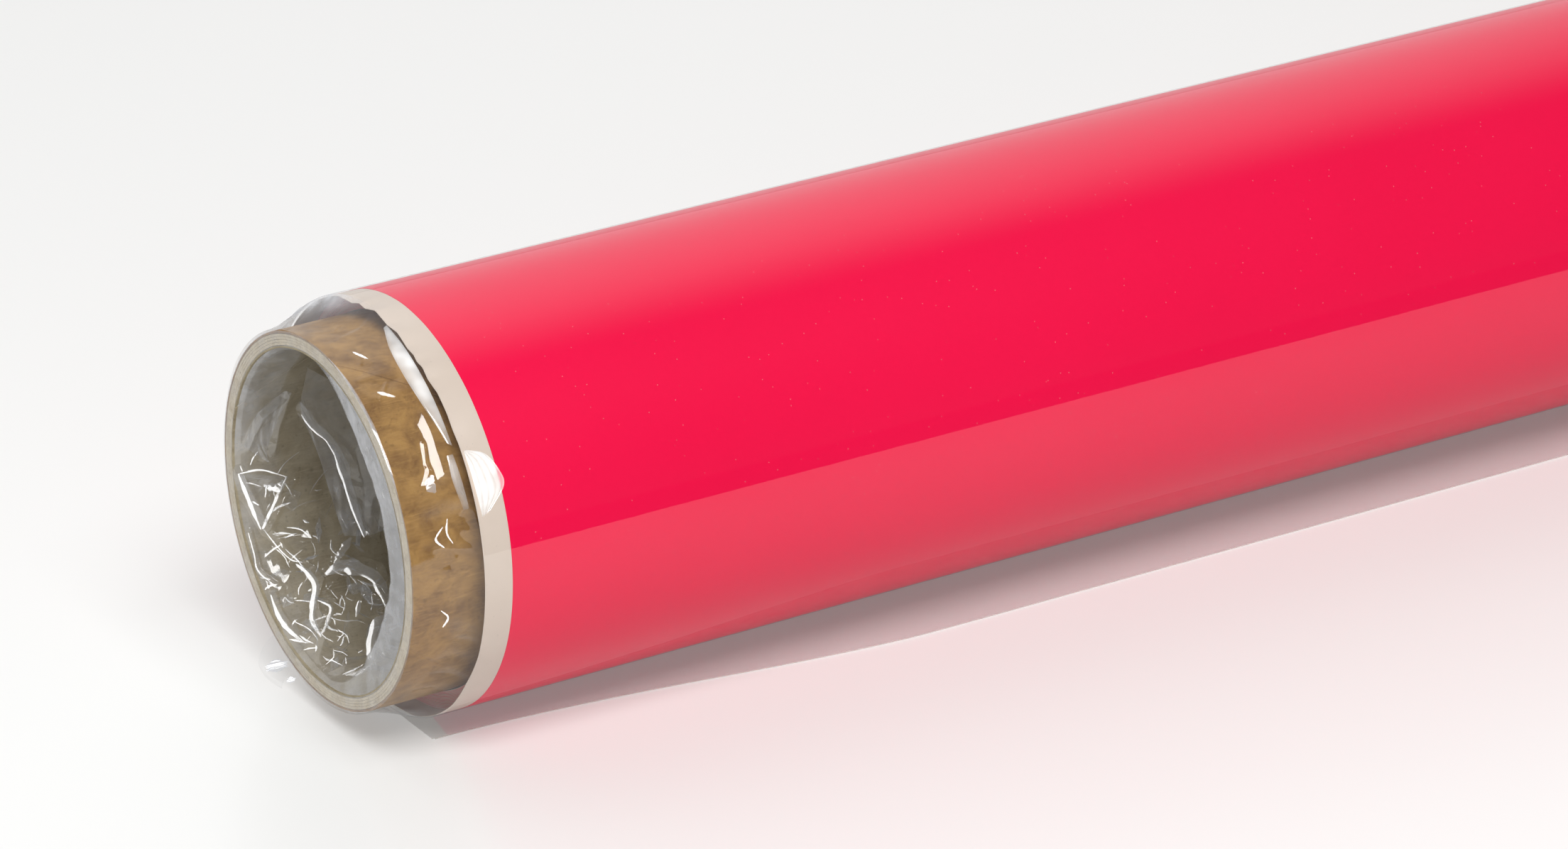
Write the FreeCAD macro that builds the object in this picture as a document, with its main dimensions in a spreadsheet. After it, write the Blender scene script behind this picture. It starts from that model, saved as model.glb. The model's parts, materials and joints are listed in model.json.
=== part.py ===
import FreeCAD, Part
import math
import os
import Sketcher
from FreeCAD import Placement, Rotation, Vector

"""Roll of red-faced backdrop sheet on a spiral-wound paperboard core, sealed in clear shrink film.

Row frame: +X along the roll, +Z up, origin under the middle of the roll on the surface it lies on.
The film's sealed fin lies on that surface on the -Y side. All lengths are in millimetres.
"""

# Driving sizes: alias, value, what it is. Each is set once, here.
DRIVING_SIZES = [
    ("bore_diameter", 76.2, "inside of the core, a three inch tube"),
    ("ply_wall", 0.63, "one paperboard ply of the core"),
    ("ply_count", 6, "plies from the bore to the kraft outside"),
    ("core_overhang", 14.8, "core past the cover sheet at each end"),
    ("sheet_width", 1350.0, "cover sheet from edge to edge, along the roll"),
    ("bare_margin", 6.6, "cover sheet's backing left bare past its red face"),
    ("turn_set_back", 6.0, "wound turns end this far inside the cover sheet"),
    ("start_tape_wall", 0.1, "double-sided tape between core and first turn"),
    ("start_tape_reach", 17.0, "degrees of that tape to each side of its middle"),
    ("start_tape_width", 100.0, "along the roll"),
    ("backing_wall", 0.12, "backing paper"),
    ("face_wall", 0.08, "red glossy face"),
    ("wound_turns", 21, "turns under the cover sheet"),
    ("tail_angle", -35.0, "degrees above the rear side where the tail edge lies"),
    ("tail_tape_wall", 0.05, "clear tape over the tail edge"),
    ("tail_tape_reach", 14.0, "degrees of the tape to each side of the tail edge"),
    ("tail_tape_width", 50.0, "along the roll"),
    ("film_wall", 0.06, "shrink film"),
    ("film_gap", 0.02, "film clear of the tape under it"),
    ("tuck_depth", 27.0, "film folded into the bore"),
    ("fin_reach", 35.0, "fin's edge from the roll's middle line"),
    ("fin_end_reach", 22.0, "the same at the fin's two ends"),
    ("fin_taper", 115.0, "length over which the fin widens"),
    ("seal_width", 0.8, "melted bead along the fin's edge"),
    ("seal_height", 0.24, "melted bead"),
    ("ear_angle", -70.0, "degrees above the rear side where the film ear stands on the rim"),
    ("ear_width", 8.0, "film ear, around the rim"),
    ("ear_foot", 2.9, "ear's foot on the rim, inside the core's edge"),
    ("ear_rise", 4.0, "ear's slant outwards as it leaves the rim"),
    ("ear_reach", 5.0, "ear's slant along the roll"),
    ("ear_clear", 0.3, "ear's tip inside the sleeve's outline"),
]

# Sizes worked out from the driving ones, in the order they are needed.
DERIVED_SIZES = [
    ("bore_radius", "bore_diameter / 2"),
    ("core_radius", "bore_radius + ply_count * ply_wall"),
    ("half_sheet", "sheet_width / 2"),
    ("half_core", "half_sheet + core_overhang"),
    ("wound_width", "sheet_width - 2 * turn_set_back"),
    ("face_width", "sheet_width - 2 * bare_margin"),
    ("tape_pitch", "sheet_width / 3"),
    ("web_wall", "backing_wall + face_wall"),
    ("web_start", "core_radius + start_tape_wall"),
    ("pack_radius", "web_start + (wound_turns + 2) * web_wall"),
    ("film_inside", "pack_radius + tail_tape_wall + film_gap"),
    ("film_outside", "film_inside + film_wall"),
    ("lip_inside", "bore_radius - film_wall"),
    ("fin_wall", "2 * film_wall"),
    ("fin_root", "sqrt(2 * film_outside * fin_wall - fin_wall * fin_wall)"),
    ("ear_root", "half_core + film_wall"),
    ("ear_bend", "core_radius - ear_foot + ear_rise"),
    ("ear_tip", "film_outside - ear_clear"),
]

X_AXIS = Vector(1, 0, 0)
Z_AXIS = Vector(0, 0, 1)

doc = FreeCAD.newDocument("backdrop_roll")
sheet = doc.addObject("Spreadsheet::Sheet", "Sizes")


def fill_sheet():
    """Write the driving sizes, then the formulas, one to a row, each with its alias."""
    row = 1
    for alias, value, note in DRIVING_SIZES:
        sheet.set(f"A{row}", alias)
        sheet.set(f"B{row}", str(value))
        sheet.set(f"C{row}", note)
        sheet.setAlias(f"B{row}", alias)
        row += 1
    for alias, formula in DERIVED_SIZES:
        sheet.set(f"A{row}", alias)
        sheet.set(f"B{row}", "=" + formula)
        sheet.setAlias(f"B{row}", alias)
        row += 1
    doc.recompute()


def size(alias):
    """One value from the sheet, as a plain number."""
    return float(sheet.get(alias))


def bound(formula):
    """A formula of sheet aliases as an expression that other objects can use."""
    words = []
    for word in formula.split():
        known = word.isidentifier() and word not in ("sqrt", "pi")
        words.append(f"Sizes.{word}" if known else word)
    return " ".join(words)


def new_body(name):
    """A body whose own origin is on the roll's axis, above the middle of the footprint."""
    body = doc.addObject("PartDesign::Body", name)
    body.Label = name
    body.setExpression("Placement.Base.z", "Sizes.film_outside")
    return body


def on_floor(body):
    """Bring a body's origin down to the surface the roll lies on."""
    body.setExpression("Placement.Base.z", "0")


def new_sketch(body, plane):
    """A sketch on one of the body's own origin planes."""
    sketch = body.newObject("Sketcher::SketchObject", body.Name + "_section")
    planes = [part for part in body.Origin.OriginFeatures if part.Role == plane]
    sketch.AttachmentSupport = [(planes[0], "")]
    sketch.MapMode = "FlatFace"
    return sketch


def add_circle(sketch, radius):
    """A circle about the sketch's origin, its radius bound to a formula."""
    value = sketch.evalExpression(bound(radius))
    edge = sketch.addGeometry(Part.Circle(Vector(0, 0, 0), Z_AXIS, float(value)), False)
    sketch.addConstraint(Sketcher.Constraint("Coincident", edge, 3, -1, 1))
    rule = sketch.addConstraint(Sketcher.Constraint("Radius", edge, float(value)))
    sketch.setExpression(f"Constraints[{rule}]", bound(radius))


def add_outline(sketch, corners):
    """A closed outline of straight edges, each corner placed by a pair of formulas."""
    points = []
    for across, along in corners:
        first = float(sketch.evalExpression(bound(across)))
        second = float(sketch.evalExpression(bound(along)))
        points.append(Vector(first, second, 0))
    edges = []
    for index, point in enumerate(points):
        following = points[(index + 1) % len(points)]
        edges.append(sketch.addGeometry(Part.LineSegment(point, following), False))
    for index, edge in enumerate(edges):
        following = edges[(index + 1) % len(edges)]
        sketch.addConstraint(Sketcher.Constraint("Coincident", edge, 2, following, 1))
    for index, (edge, formulas) in enumerate(zip(edges, corners)):
        for kind, formula, value in zip(("DistanceX", "DistanceY"), formulas, points[index]):
            rule = sketch.addConstraint(Sketcher.Constraint(kind, -1, 1, edge, 1, value))
            sketch.setExpression(f"Constraints[{rule}]", bound(formula))


def add_pad(body, sketch, length, both_ways):
    """Pad the sketch to a bound length, to both sides of its plane or to one."""
    pad = body.newObject("PartDesign::Pad", body.Name + "_pad")
    pad.Profile = sketch
    pad.setExpression("Length", bound(length))
    pad.SideType = "Symmetric" if both_ways else "One side"
    sketch.Visibility = False
    return pad


def add_turn(body, sketch):
    """Revolve the sketch a full turn about the roll's axis."""
    turned = body.newObject("PartDesign::Revolution", body.Name + "_turned")
    turned.Profile = sketch
    turned.ReferenceAxis = (sketch, ["H_Axis"])
    turned.Angle = 360
    sketch.Visibility = False
    return turned


def at_end(body, side):
    """Keep a body drawn for the +X end there, or turn it round to the -X end."""
    if side == "left":
        body.Placement.Rotation = Rotation(Z_AXIS, 180)


def ring(name, inside, outside, length):
    """A tube about the roll's axis, centred along it, its seam line where the sheet's tail edge is."""
    body = new_body(name)
    body.Placement.Rotation = Rotation(X_AXIS, size("tail_angle"))
    sketch = new_sketch(body, "YZ_Plane")
    add_circle(sketch, outside)
    add_circle(sketch, inside)
    add_pad(body, sketch, length, both_ways=True)
    return body


def core_plies():
    """The core: plies glued one on the other, from the bore's liner to the kraft outside."""
    names = []
    for ply in range(int(size("ply_count"))):
        name = f"core_ply_{ply + 1}"
        inside = f"bore_radius + {ply} * ply_wall"
        ring(name, inside, f"{inside} + ply_wall", "2 * half_core")
        names.append(name)
    return names


def arc_strip(name, inside, wall, reach, width, centre):
    """A strip bent to the roll, in line with the tail edge: part of a tube, laid along X."""
    outer = doc.addObject("Part::Cylinder", name + "_outside")
    outer.setExpression("Radius", bound(f"{inside} + {wall}"))
    inner = doc.addObject("Part::Cylinder", name + "_inside")
    inner.setExpression("Radius", bound(inside))
    for disc in (outer, inner):
        disc.setExpression("Height", bound(width))
        disc.setExpression("Angle", bound(f"2 * {reach}"))
    strip = doc.addObject("Part::Cut", name)
    strip.Base = outer
    strip.Tool = inner
    strip.Label = name
    # The cylinders stand on Z and open from their own X, so they are laid along +X
    # with their first edge turned to the rear side.
    laid = Rotation(Vector(0, 1, 0), Vector(0, 0, 1), Vector(1, 0, 0), "ZXY")
    start = size("tail_angle") - size(reach)
    strip.Placement = Placement(Vector(0, 0, 0), Rotation(X_AXIS, start) * laid)
    strip.setExpression("Placement.Base.x", bound(f"{centre} - {width} / 2"))
    strip.setExpression("Placement.Base.z", "Sizes.film_outside")
    return name


def spiral_section(start_radius, wall, turns, pitch):
    """The end view of a wound layer: half circles about two centres, so its wall stays even.

    The centres stand pitch / 4 to each side of the axis. Each half turn's radius is pitch / 2
    over the last, which carries the layer outwards by the pitch in a full turn.
    """
    offset = pitch / 4
    halves = int(round(2 * turns))

    def half_turns(radius):
        edges = []
        for half in range(halves):
            side = -1 if half % 2 == 0 else 1
            here = radius + offset + 2 * offset * half
            centre = Vector(0, side * offset, 0)
            first = centre + Vector(0, -side * here, 0)
            top = centre + Vector(0, 0, -side * here)
            last = centre + Vector(0, side * here, 0)
            edges.append(Part.Arc(first, top, last).toShape())
        return edges

    inner = half_turns(start_radius)
    outer = half_turns(start_radius + wall)
    ends = [
        Part.makeLine(inner[0].Vertexes[0].Point, outer[0].Vertexes[0].Point),
        Part.makeLine(inner[-1].Vertexes[-1].Point, outer[-1].Vertexes[-1].Point),
    ]
    wire = Part.Wire(Part.__sortEdges__(inner + outer + ends))
    return Part.Face(wire)


def wound_layer(name, start_radius, wall, turns, width):
    """A layer of the wound sheet: its end view, drawn from the sheet's sizes, drawn out along X."""
    section = doc.addObject("Part::Feature", name + "_end_view")
    section.Shape = spiral_section(start_radius, wall, turns, size("web_wall"))
    layer = doc.addObject("Part::Extrusion", name)
    layer.Base = section
    layer.Label = name
    layer.DirMode = "Custom"
    layer.Dir = X_AXIS
    layer.Solid = True
    layer.Symmetric = True
    layer.setExpression("LengthFwd", bound(width))
    layer.Placement = Placement(Vector(0, 0, 0), Rotation(X_AXIS, size("tail_angle")))
    layer.setExpression("Placement.Base.z", "Sizes.film_outside")
    return name


def wound_sheet():
    """The sheet: backing and red face wound together, and the cover sheet as the last turn."""
    start = size("web_start")
    turns = size("wound_turns")
    cover_start = start + turns * size("web_wall")
    backing = size("backing_wall")
    face = size("face_wall")
    return [
        wound_layer("wound_backing", start, backing, turns, "wound_width"),
        wound_layer("wound_red_face", start + backing, face, turns, "wound_width"),
        wound_layer("cover_backing", cover_start, backing, 1, "sheet_width"),
        wound_layer("cover_red_face", cover_start + backing, face, 1, "face_width"),
    ]


def tapes():
    """Tapes in threes: those that start the winding on the core, and those over the tail edge."""
    names = []
    for place, centre in (("left", "0 - tape_pitch"), ("middle", "0"), ("right", "tape_pitch")):
        names.append(arc_strip(f"start_tape_{place}", "core_radius", "start_tape_wall",
                               "start_tape_reach", "start_tape_width", centre))
        names.append(arc_strip(f"tail_tape_{place}", "pack_radius", "tail_tape_wall",
                               "tail_tape_reach", "tail_tape_width", centre))
    return names


def film_sleeve():
    """The shrunk sleeve around the sheet, from edge to edge."""
    ring("film_sleeve", "film_inside", "film_outside", "sheet_width")
    return "film_sleeve"


def film_shoulder(side):
    """Film drawn in from the sleeve's end to the core's rim."""
    body = new_body(f"film_shoulder_{side}")
    add_turn_section(body, [
        ("half_sheet", "film_inside"),
        ("half_sheet", "film_outside"),
        ("half_core + film_wall", "core_radius + film_wall"),
        ("half_core", "core_radius"),
    ])
    at_end(body, side)
    return body.Label


def film_tuck(side):
    """Film folded over the rim and laid along the bore's wall."""
    body = new_body(f"film_tuck_{side}")
    add_turn_section(body, [
        ("half_core", "core_radius"),
        ("half_core + film_wall", "core_radius + film_wall"),
        ("half_core + film_wall", "lip_inside"),
        ("half_core - tuck_depth", "lip_inside"),
        ("half_core - tuck_depth", "bore_radius"),
        ("half_core", "bore_radius"),
    ])
    at_end(body, side)
    return body.Label


def add_turn_section(body, corners):
    """Revolve an outline of (distance along the roll, radius) corners about the roll's axis."""
    sketch = new_sketch(body, "XZ_Plane")
    add_outline(sketch, corners)
    add_turn(body, sketch)


def film_fin():
    """Two layers of film sealed together, lying flat from the roll's underside to the -Y side."""
    body = new_body("film_fin")
    on_floor(body)
    sketch = new_sketch(body, "XY_Plane")
    add_outline(sketch, [
        ("0 - half_sheet", "0 - fin_root"),
        ("0 - half_sheet", "0 - fin_end_reach"),
        ("fin_taper - half_sheet", "0 - fin_reach"),
        ("half_sheet - fin_taper", "0 - fin_reach"),
        ("half_sheet", "0 - fin_end_reach"),
        ("half_sheet", "0 - fin_root"),
    ])
    add_pad(body, sketch, "fin_wall", both_ways=False)
    return body.Label


def film_fin_seal():
    """The melted bead along the fin's straight edge."""
    body = new_body("film_fin_seal")
    on_floor(body)
    sketch = new_sketch(body, "YZ_Plane")
    add_outline(sketch, [
        ("0 - fin_reach", "0"),
        ("0 - fin_reach", "seal_height * 0.75"),
        ("0 - fin_reach - seal_width * 0.25", "seal_height"),
        ("0 - fin_reach - seal_width * 0.75", "seal_height"),
        ("0 - fin_reach - seal_width", "seal_height * 0.5"),
        ("0 - fin_reach - seal_width", "0"),
    ])
    add_pad(body, sketch, "sheet_width - 2 * fin_taper", both_ways=True)
    return body.Label


def film_ear(side):
    """A loose tag of film that stands out from the rim and turns outwards, low on the rear side."""
    body = new_body(f"film_ear_{side}")
    sketch = new_sketch(body, "XZ_Plane")
    add_outline(sketch, [
        ("ear_root", "core_radius - ear_foot"),
        ("ear_root + ear_reach", "ear_bend"),
        ("ear_root + ear_reach", "ear_tip"),
        ("ear_root + ear_reach + fin_wall", "ear_tip"),
        ("ear_root + ear_reach + fin_wall", "ear_bend - fin_wall"),
        ("ear_root", "core_radius - ear_foot - fin_wall"),
    ])
    add_pad(body, sketch, "ear_width", both_ways=True)
    # Drawn above the axis, so it is tipped about the roll from there to its own angle.
    tipped = Rotation(X_AXIS, size("ear_angle") - 90)
    if side == "left":
        tipped = tipped * Rotation(Z_AXIS, 180)
    body.Placement.Rotation = tipped
    return body.Label


def build():
    """Make every sub-part, and return their labels in the order they go together."""
    fill_sheet()
    names = core_plies() + wound_sheet() + tapes()
    names.append(film_sleeve())
    names.append(film_fin())
    names.append(film_fin_seal())
    for side in ("left", "right"):
        names += [film_shoulder(side), film_tuck(side), film_ear(side)]
    doc.recompute()
    return names


def check(names):
    """Stop if any object failed, or any sub-part has no valid solid."""
    failed = [part.Label for part in doc.Objects if {"Invalid", "Error"} & set(part.State)]
    if failed:
        raise RuntimeError("these objects did not compute: " + ", ".join(failed))
    for name in names:
        shape = doc.getObjectsByLabel(name)[0].Shape
        if shape.isNull() or not shape.isValid() or len(shape.Solids) != 1:
            raise RuntimeError(name + " is not one valid solid")


def export(names):
    """Write each sub-part to its own file."""
    os.makedirs("parts", exist_ok=True)
    for name in names:
        doc.getObjectsByLabel(name)[0].Shape.exportStep(f"parts/{name}.step")


nodes = build()
check(nodes)
export(nodes)
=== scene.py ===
"""Looks of a roll of glossy red backdrop sheet on a paperboard core, sealed in clear shrink film.

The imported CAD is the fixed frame: +X along the roll, +Z up, origin under its middle on the
surface it lies on. Sizes here are in millimetres unless a name says otherwise. Angles about the
roll's axis are in degrees from the rear side (+Y) up towards the top (+Z).
"""

import json
import logging
import math
from dataclasses import dataclass
from enum import Enum
from typing import Any, Iterable, Sequence

import bpy
import numpy as np
from mathutils import Matrix, Vector
from mathutils.geometry import delaunay_2d_cdt


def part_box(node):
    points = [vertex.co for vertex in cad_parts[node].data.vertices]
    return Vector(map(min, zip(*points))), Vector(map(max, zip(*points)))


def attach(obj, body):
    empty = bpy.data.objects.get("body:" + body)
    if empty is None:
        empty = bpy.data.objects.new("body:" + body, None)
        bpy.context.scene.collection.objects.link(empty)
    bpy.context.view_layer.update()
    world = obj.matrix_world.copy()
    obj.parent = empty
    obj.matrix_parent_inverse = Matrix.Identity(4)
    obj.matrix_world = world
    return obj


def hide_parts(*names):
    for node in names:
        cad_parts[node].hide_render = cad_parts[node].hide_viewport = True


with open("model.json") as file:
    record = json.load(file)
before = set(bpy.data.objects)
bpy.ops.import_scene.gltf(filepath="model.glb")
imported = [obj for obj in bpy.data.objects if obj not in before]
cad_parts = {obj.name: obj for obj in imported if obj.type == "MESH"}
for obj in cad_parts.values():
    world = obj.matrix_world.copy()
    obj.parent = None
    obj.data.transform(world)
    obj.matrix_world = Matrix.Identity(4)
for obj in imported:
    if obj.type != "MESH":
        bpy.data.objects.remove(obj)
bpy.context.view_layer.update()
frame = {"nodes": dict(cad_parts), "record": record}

MM = 0.001
MM = 0.001
FULL_TURN = 360.0
MILK = "milk"
LOG = logging.getLogger("backdrop_roll")

Field = np.ndarray
Line = tuple[tuple[float, float], ...]
Socket = bpy.types.NodeSocket
Tree = bpy.types.NodeTree


class Side(Enum):
    """The two ends of the roll, with the sign of their place along X."""

    LEFT = -1
    RIGHT = 1

    @property
    def word(self) -> str:
        """The side's name in lower case, as the CAD nodes use it."""
        return self.name.lower()


# --------------------------------------------------------------------------- shader helpers


def linear(colour: str) -> tuple[float, float, float, float]:
    """Turn an sRGB hex colour into Blender's linear RGBA.

    Args:
        colour: Six hex digits, with or without a leading #.

    Returns:
        Red, green, blue and an alpha of one.
    """
    digits = colour.lstrip("#")
    parts = [int(digits[at:at + 2], 16) / 255 for at in (0, 2, 4)]
    made = [c / 12.92 if c <= 0.04045 else ((c + 0.055) / 1.055) ** 2.4 for c in parts]
    return (*made, 1.0)


def add_node(tree: bpy.types.NodeTree, kind: str, inputs: dict[Any, Any] | None = None,
             **settings: Any) -> bpy.types.Node:
    """Add a shader node, set its properties, and fill or link its inputs.

    Args:
        tree: The tree that the node goes into.
        kind: Blender's name for the node's type.
        inputs: For each input's name or number, a value or the output that feeds it.
        **settings: The node's own properties.

    Returns:
        The new node.
    """
    made = tree.nodes.new(kind)
    for name, value in settings.items():
        setattr(made, name, value)
    for socket, value in (inputs or {}).items():
        if isinstance(value, bpy.types.NodeSocket):
            tree.links.new(value, made.inputs[socket])
        else:
            made.inputs[socket].default_value = value
    return made


def noise(tree: Tree, place: Socket, size: float, **inputs: float) -> Socket:
    """Add noise with a grain of this many millimetres, and values from about 0 to 1."""
    return add_node(tree, "ShaderNodeTexNoise", {
        "Vector": place, "Scale": 1 / (size * MM), **inputs}).outputs["Fac"]


def spread(tree: Tree, value: Socket, seen: tuple[float, float],
           wanted: tuple[float, float]) -> Socket:
    """Stretch a value from the range seen to the range wanted, and hold it there."""
    return add_node(tree, "ShaderNodeMapRange", {
        "Value": value, "From Min": seen[0], "From Max": seen[1],
        "To Min": wanted[0], "To Max": wanted[1]}).outputs["Result"]


def blend(tree: Tree, share: Socket, first: str | Socket, second: str) -> Socket:
    """Mix a second colour into a first one, by a share from 0 to 1."""
    ground = linear(first) if isinstance(first, str) else first
    return add_node(tree, "ShaderNodeMix", {0: share, 6: ground, 7: linear(second)},
                    data_type="RGBA").outputs[2]


def bumps(tree: Tree, height: Socket, strength: float, depth: float) -> Socket:
    """Turn a height into a bumpy normal, with its depth in millimetres."""
    return add_node(tree, "ShaderNodeBump", {
        "Height": height, "Strength": strength, "Distance": depth * MM}).outputs["Normal"]


# --------------------------------------------------------------------------- finishes


@dataclass(frozen=True)
class Finish:
    """A surface finish: what the real material is, and the shader that shows it."""

    name: str

    @property
    def casts_shadow(self) -> bool:
        """Whether the material stops enough light to matter."""
        return True

    def material(self) -> bpy.types.Material:
        """The finish's material, made the first time it is asked for."""
        found = bpy.data.materials.get(self.name)
        if found:
            return found
        made = bpy.data.materials.new(self.name)
        made.use_nodes = True
        tree = made.node_tree
        tree.nodes.clear()
        place = add_node(tree, "ShaderNodeTexCoord").outputs["Object"]
        add_node(tree, "ShaderNodeOutputMaterial", {"Surface": self.shader(tree, place)})
        return made

    def shader(self, tree: Tree, place: Socket) -> Socket:
        """Draw the finish.

        Args:
            tree: The material's tree.
            place: The output that says where each point of the piece is.

        Returns:
            The output of the finished shader.
        """
        raise NotImplementedError


@dataclass(frozen=True)
class Paperboard(Finish):
    """Recycled paperboard as it comes off the paper machine: matt, mottled, with short fibres."""

    ground: str
    mottle: str
    fibre: str
    fleck: str
    mottle_size: float = 7.0
    fibre_length: float = 5.0
    fibre_width: float = 0.45
    fleck_size: float = 0.9
    fleck_share: float = 0.3
    fibre_share: float = 0.55
    roughness: float = 0.82
    shine: float = 0.25
    relief: float = 0.05

    def shader(self, tree: Tree, place: Socket) -> Socket:
        """Mottled ground colour, fibres lying along the roll, and small dark flecks."""
        clouds = noise(tree, place, self.mottle_size, Detail=6.0, Roughness=0.62,
                       Distortion=0.4)
        body = blend(tree, spread(tree, clouds, (0.36, 0.66), (0.0, 1.0)), self.ground,
                     self.mottle)
        # Fibres are under 0.05 mm across, so they are drawn as coarse as bundles of them look.
        along, across = 1 / (self.fibre_length * MM), 1 / (self.fibre_width * MM)
        stretched = add_node(tree, "ShaderNodeMapping", {
            "Vector": place, "Scale": (along, across, across)}).outputs["Vector"]
        strands = add_node(tree, "ShaderNodeTexNoise", {
            "Vector": stretched, "Scale": 1.0, "Detail": 3.0, "Roughness": 0.7,
            "Distortion": 0.8}).outputs["Fac"]
        fibres = blend(tree, spread(tree, strands, (0.5, 0.78), (0.0, self.fibre_share)), body,
                       self.fibre)
        specks = noise(tree, place, self.fleck_size, Detail=1.0)
        surface = blend(tree, spread(tree, specks, (0.62, 0.74), (0.0, self.fleck_share)),
                        fibres, self.fleck)
        return add_node(tree, "ShaderNodeBsdfPrincipled", {
            "Base Color": surface, "Roughness": self.roughness,
            "Specular IOR Level": self.shine,
            "Normal": bumps(tree, strands, 0.5, self.relief)}).outputs["BSDF"]


@dataclass(frozen=True)
class ReleasePaper(Finish):
    """Siliconised backing paper, calendered smooth: off-white with a low sheen."""

    ground: str
    shade: str
    cloud_size: float = 12.0
    grain_size: float = 0.35
    roughness: float = 0.48
    shine: float = 0.35
    relief: float = 0.01

    def shader(self, tree: Tree, place: Socket) -> Socket:
        """Off-white with faint clouds, a fine grain and an uneven sheen."""
        clouds = noise(tree, place, self.cloud_size, Detail=5.0, Roughness=0.65)
        grain = noise(tree, place, self.grain_size, Detail=2.0)
        sheen = spread(tree, clouds, (0.0, 1.0), (self.roughness - 0.08, self.roughness + 0.1))
        return add_node(tree, "ShaderNodeBsdfPrincipled", {
            "Base Color": blend(tree, clouds, self.ground, self.shade), "Roughness": sheen,
            "Specular IOR Level": self.shine,
            "Normal": bumps(tree, grain, 0.3, self.relief)}).outputs["BSDF"]


@dataclass(frozen=True)
class VinylFace(Finish):
    """Cast red vinyl laminated on the backing: saturated, even, with a faint orange peel."""

    ground: str
    deep: str
    cloud_size: float = 60.0
    peel_size: float = 1.6
    roughness: float = 0.42
    sheen_change: float = 0.06
    shine: float = 0.08
    relief: float = 0.005

    def shader(self, tree: Tree, place: Socket) -> Socket:
        """Red with a very slow change of depth and a soft sheen under the film's sharp one."""
        clouds = noise(tree, place, self.cloud_size, Detail=4.0)
        peel = noise(tree, place, self.peel_size, Detail=2.0)
        sheen = spread(tree, peel, (0.0, 1.0), (self.roughness - self.sheen_change,
                                                self.roughness + self.sheen_change))
        return add_node(tree, "ShaderNodeBsdfPrincipled", {
            "Base Color": blend(tree, clouds, self.ground, self.deep), "Roughness": sheen,
            "Specular IOR Level": self.shine,
            "Normal": bumps(tree, peel, 0.2, self.relief)}).outputs["BSDF"]


@dataclass(frozen=True)
class ClearFilm(Finish):
    """Clear polyolefin film: it shows what is behind it, and mirrors lights as sharp streaks.

    One surface stands for the film's two, so its head-on reflection is that of both together.
    Where a piece says how milky it is, from 0 to 1, that is added to the haze.
    """

    head_on: float = 0.064
    grazing: float = 0.55
    roughness: float = 0.03
    tint: str = "FCFCFC"
    haze: float = 0.0
    haze_colour: str = "CFCCC5"
    ripple_size: float = 9.0
    ripple: float = 0.02
    dust_size: float = 2.2
    dust: float = 0.0

    @property
    def casts_shadow(self) -> bool:
        """Clear film lets nearly all light through."""
        return False

    def shader(self, tree: Tree, place: Socket) -> Socket:
        """Transparent, mixed with a mirror by angle, with faint haze, ripples and dust."""
        waves = noise(tree, place, self.ripple_size, Detail=2.0, Roughness=0.6)
        # Schlick's curve, from the angle to the surface alone, so both faces shine alike.
        facing = add_node(tree, "ShaderNodeLayerWeight", {"Blend": 0.5}).outputs["Facing"]
        steep = add_node(tree, "ShaderNodeMath", {0: facing, 1: 5.0}, operation="POWER")
        share = add_node(tree, "ShaderNodeMath", {
            0: steep.outputs[0], 1: self.grazing, 2: self.head_on},
            operation="MULTIPLY_ADD", use_clamp=True)
        clear = add_node(tree, "ShaderNodeBsdfTransparent", {"Color": linear(self.tint)})
        milk = add_node(tree, "ShaderNodeBsdfDiffuse", {"Color": linear(self.haze_colour)})
        motes = add_node(tree, "ShaderNodeTexVoronoi", {
            "Vector": place, "Scale": 1 / (self.dust_size * MM)}).outputs["Distance"]
        drawn = add_node(tree, "ShaderNodeAttribute", attribute_name=MILK)
        milky = add_node(tree, "ShaderNodeMath", {
            0: drawn.outputs["Fac"], 1: spread(tree, waves, (0.3, 0.7), (0.55, 1.45)),
            2: spread(tree, motes, (0.03, 0.07), (self.dust, self.haze))},
            operation="MULTIPLY_ADD", use_clamp=True)
        body = add_node(tree, "ShaderNodeMixShader", {
            0: milky.outputs[0], 1: clear.outputs[0], 2: milk.outputs[0]})
        mirror = add_node(tree, "ShaderNodeBsdfAnisotropic", {
            "Roughness": self.roughness, "Normal": bumps(tree, waves, 1.0, self.ripple)})
        return add_node(tree, "ShaderNodeMixShader", {
            0: share.outputs[0], 1: body.outputs[0], 2: mirror.outputs[0]}).outputs[0]


@dataclass(frozen=True)
class PaleTable(Finish):
    """White translucent acrylic of a product table, faintly lit from below."""

    ground: str
    lit_from_below: float = 0.0
    grain_scale: float = 1.2
    sheen: tuple[float, float] = (0.26, 0.32)
    shine: float = 0.25

    def shader(self, tree: Tree, place: Socket) -> Socket:
        """White with a barely visible change of sheen."""
        grain = add_node(tree, "ShaderNodeTexNoise", {
            "Vector": place, "Scale": self.grain_scale, "Detail": 2.0}).outputs["Fac"]
        return add_node(tree, "ShaderNodeBsdfPrincipled", {
            "Base Color": linear(self.ground),
            "Roughness": spread(tree, grain, (0.0, 1.0), self.sheen),
            "Specular IOR Level": self.shine, "Emission Color": linear(self.ground),
            "Emission Strength": self.lit_from_below}).outputs["BSDF"]


# Kraft: unbleached long-fibre paper, so it looks warm brown with cloudy mottling.
KRAFT = Paperboard("kraft paperboard, spiral wound", ground="9C7844", mottle="73532D",
                   fibre="AD8852", fleck="5A3F1C", mottle_size=5.5, relief=0.01)
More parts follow.
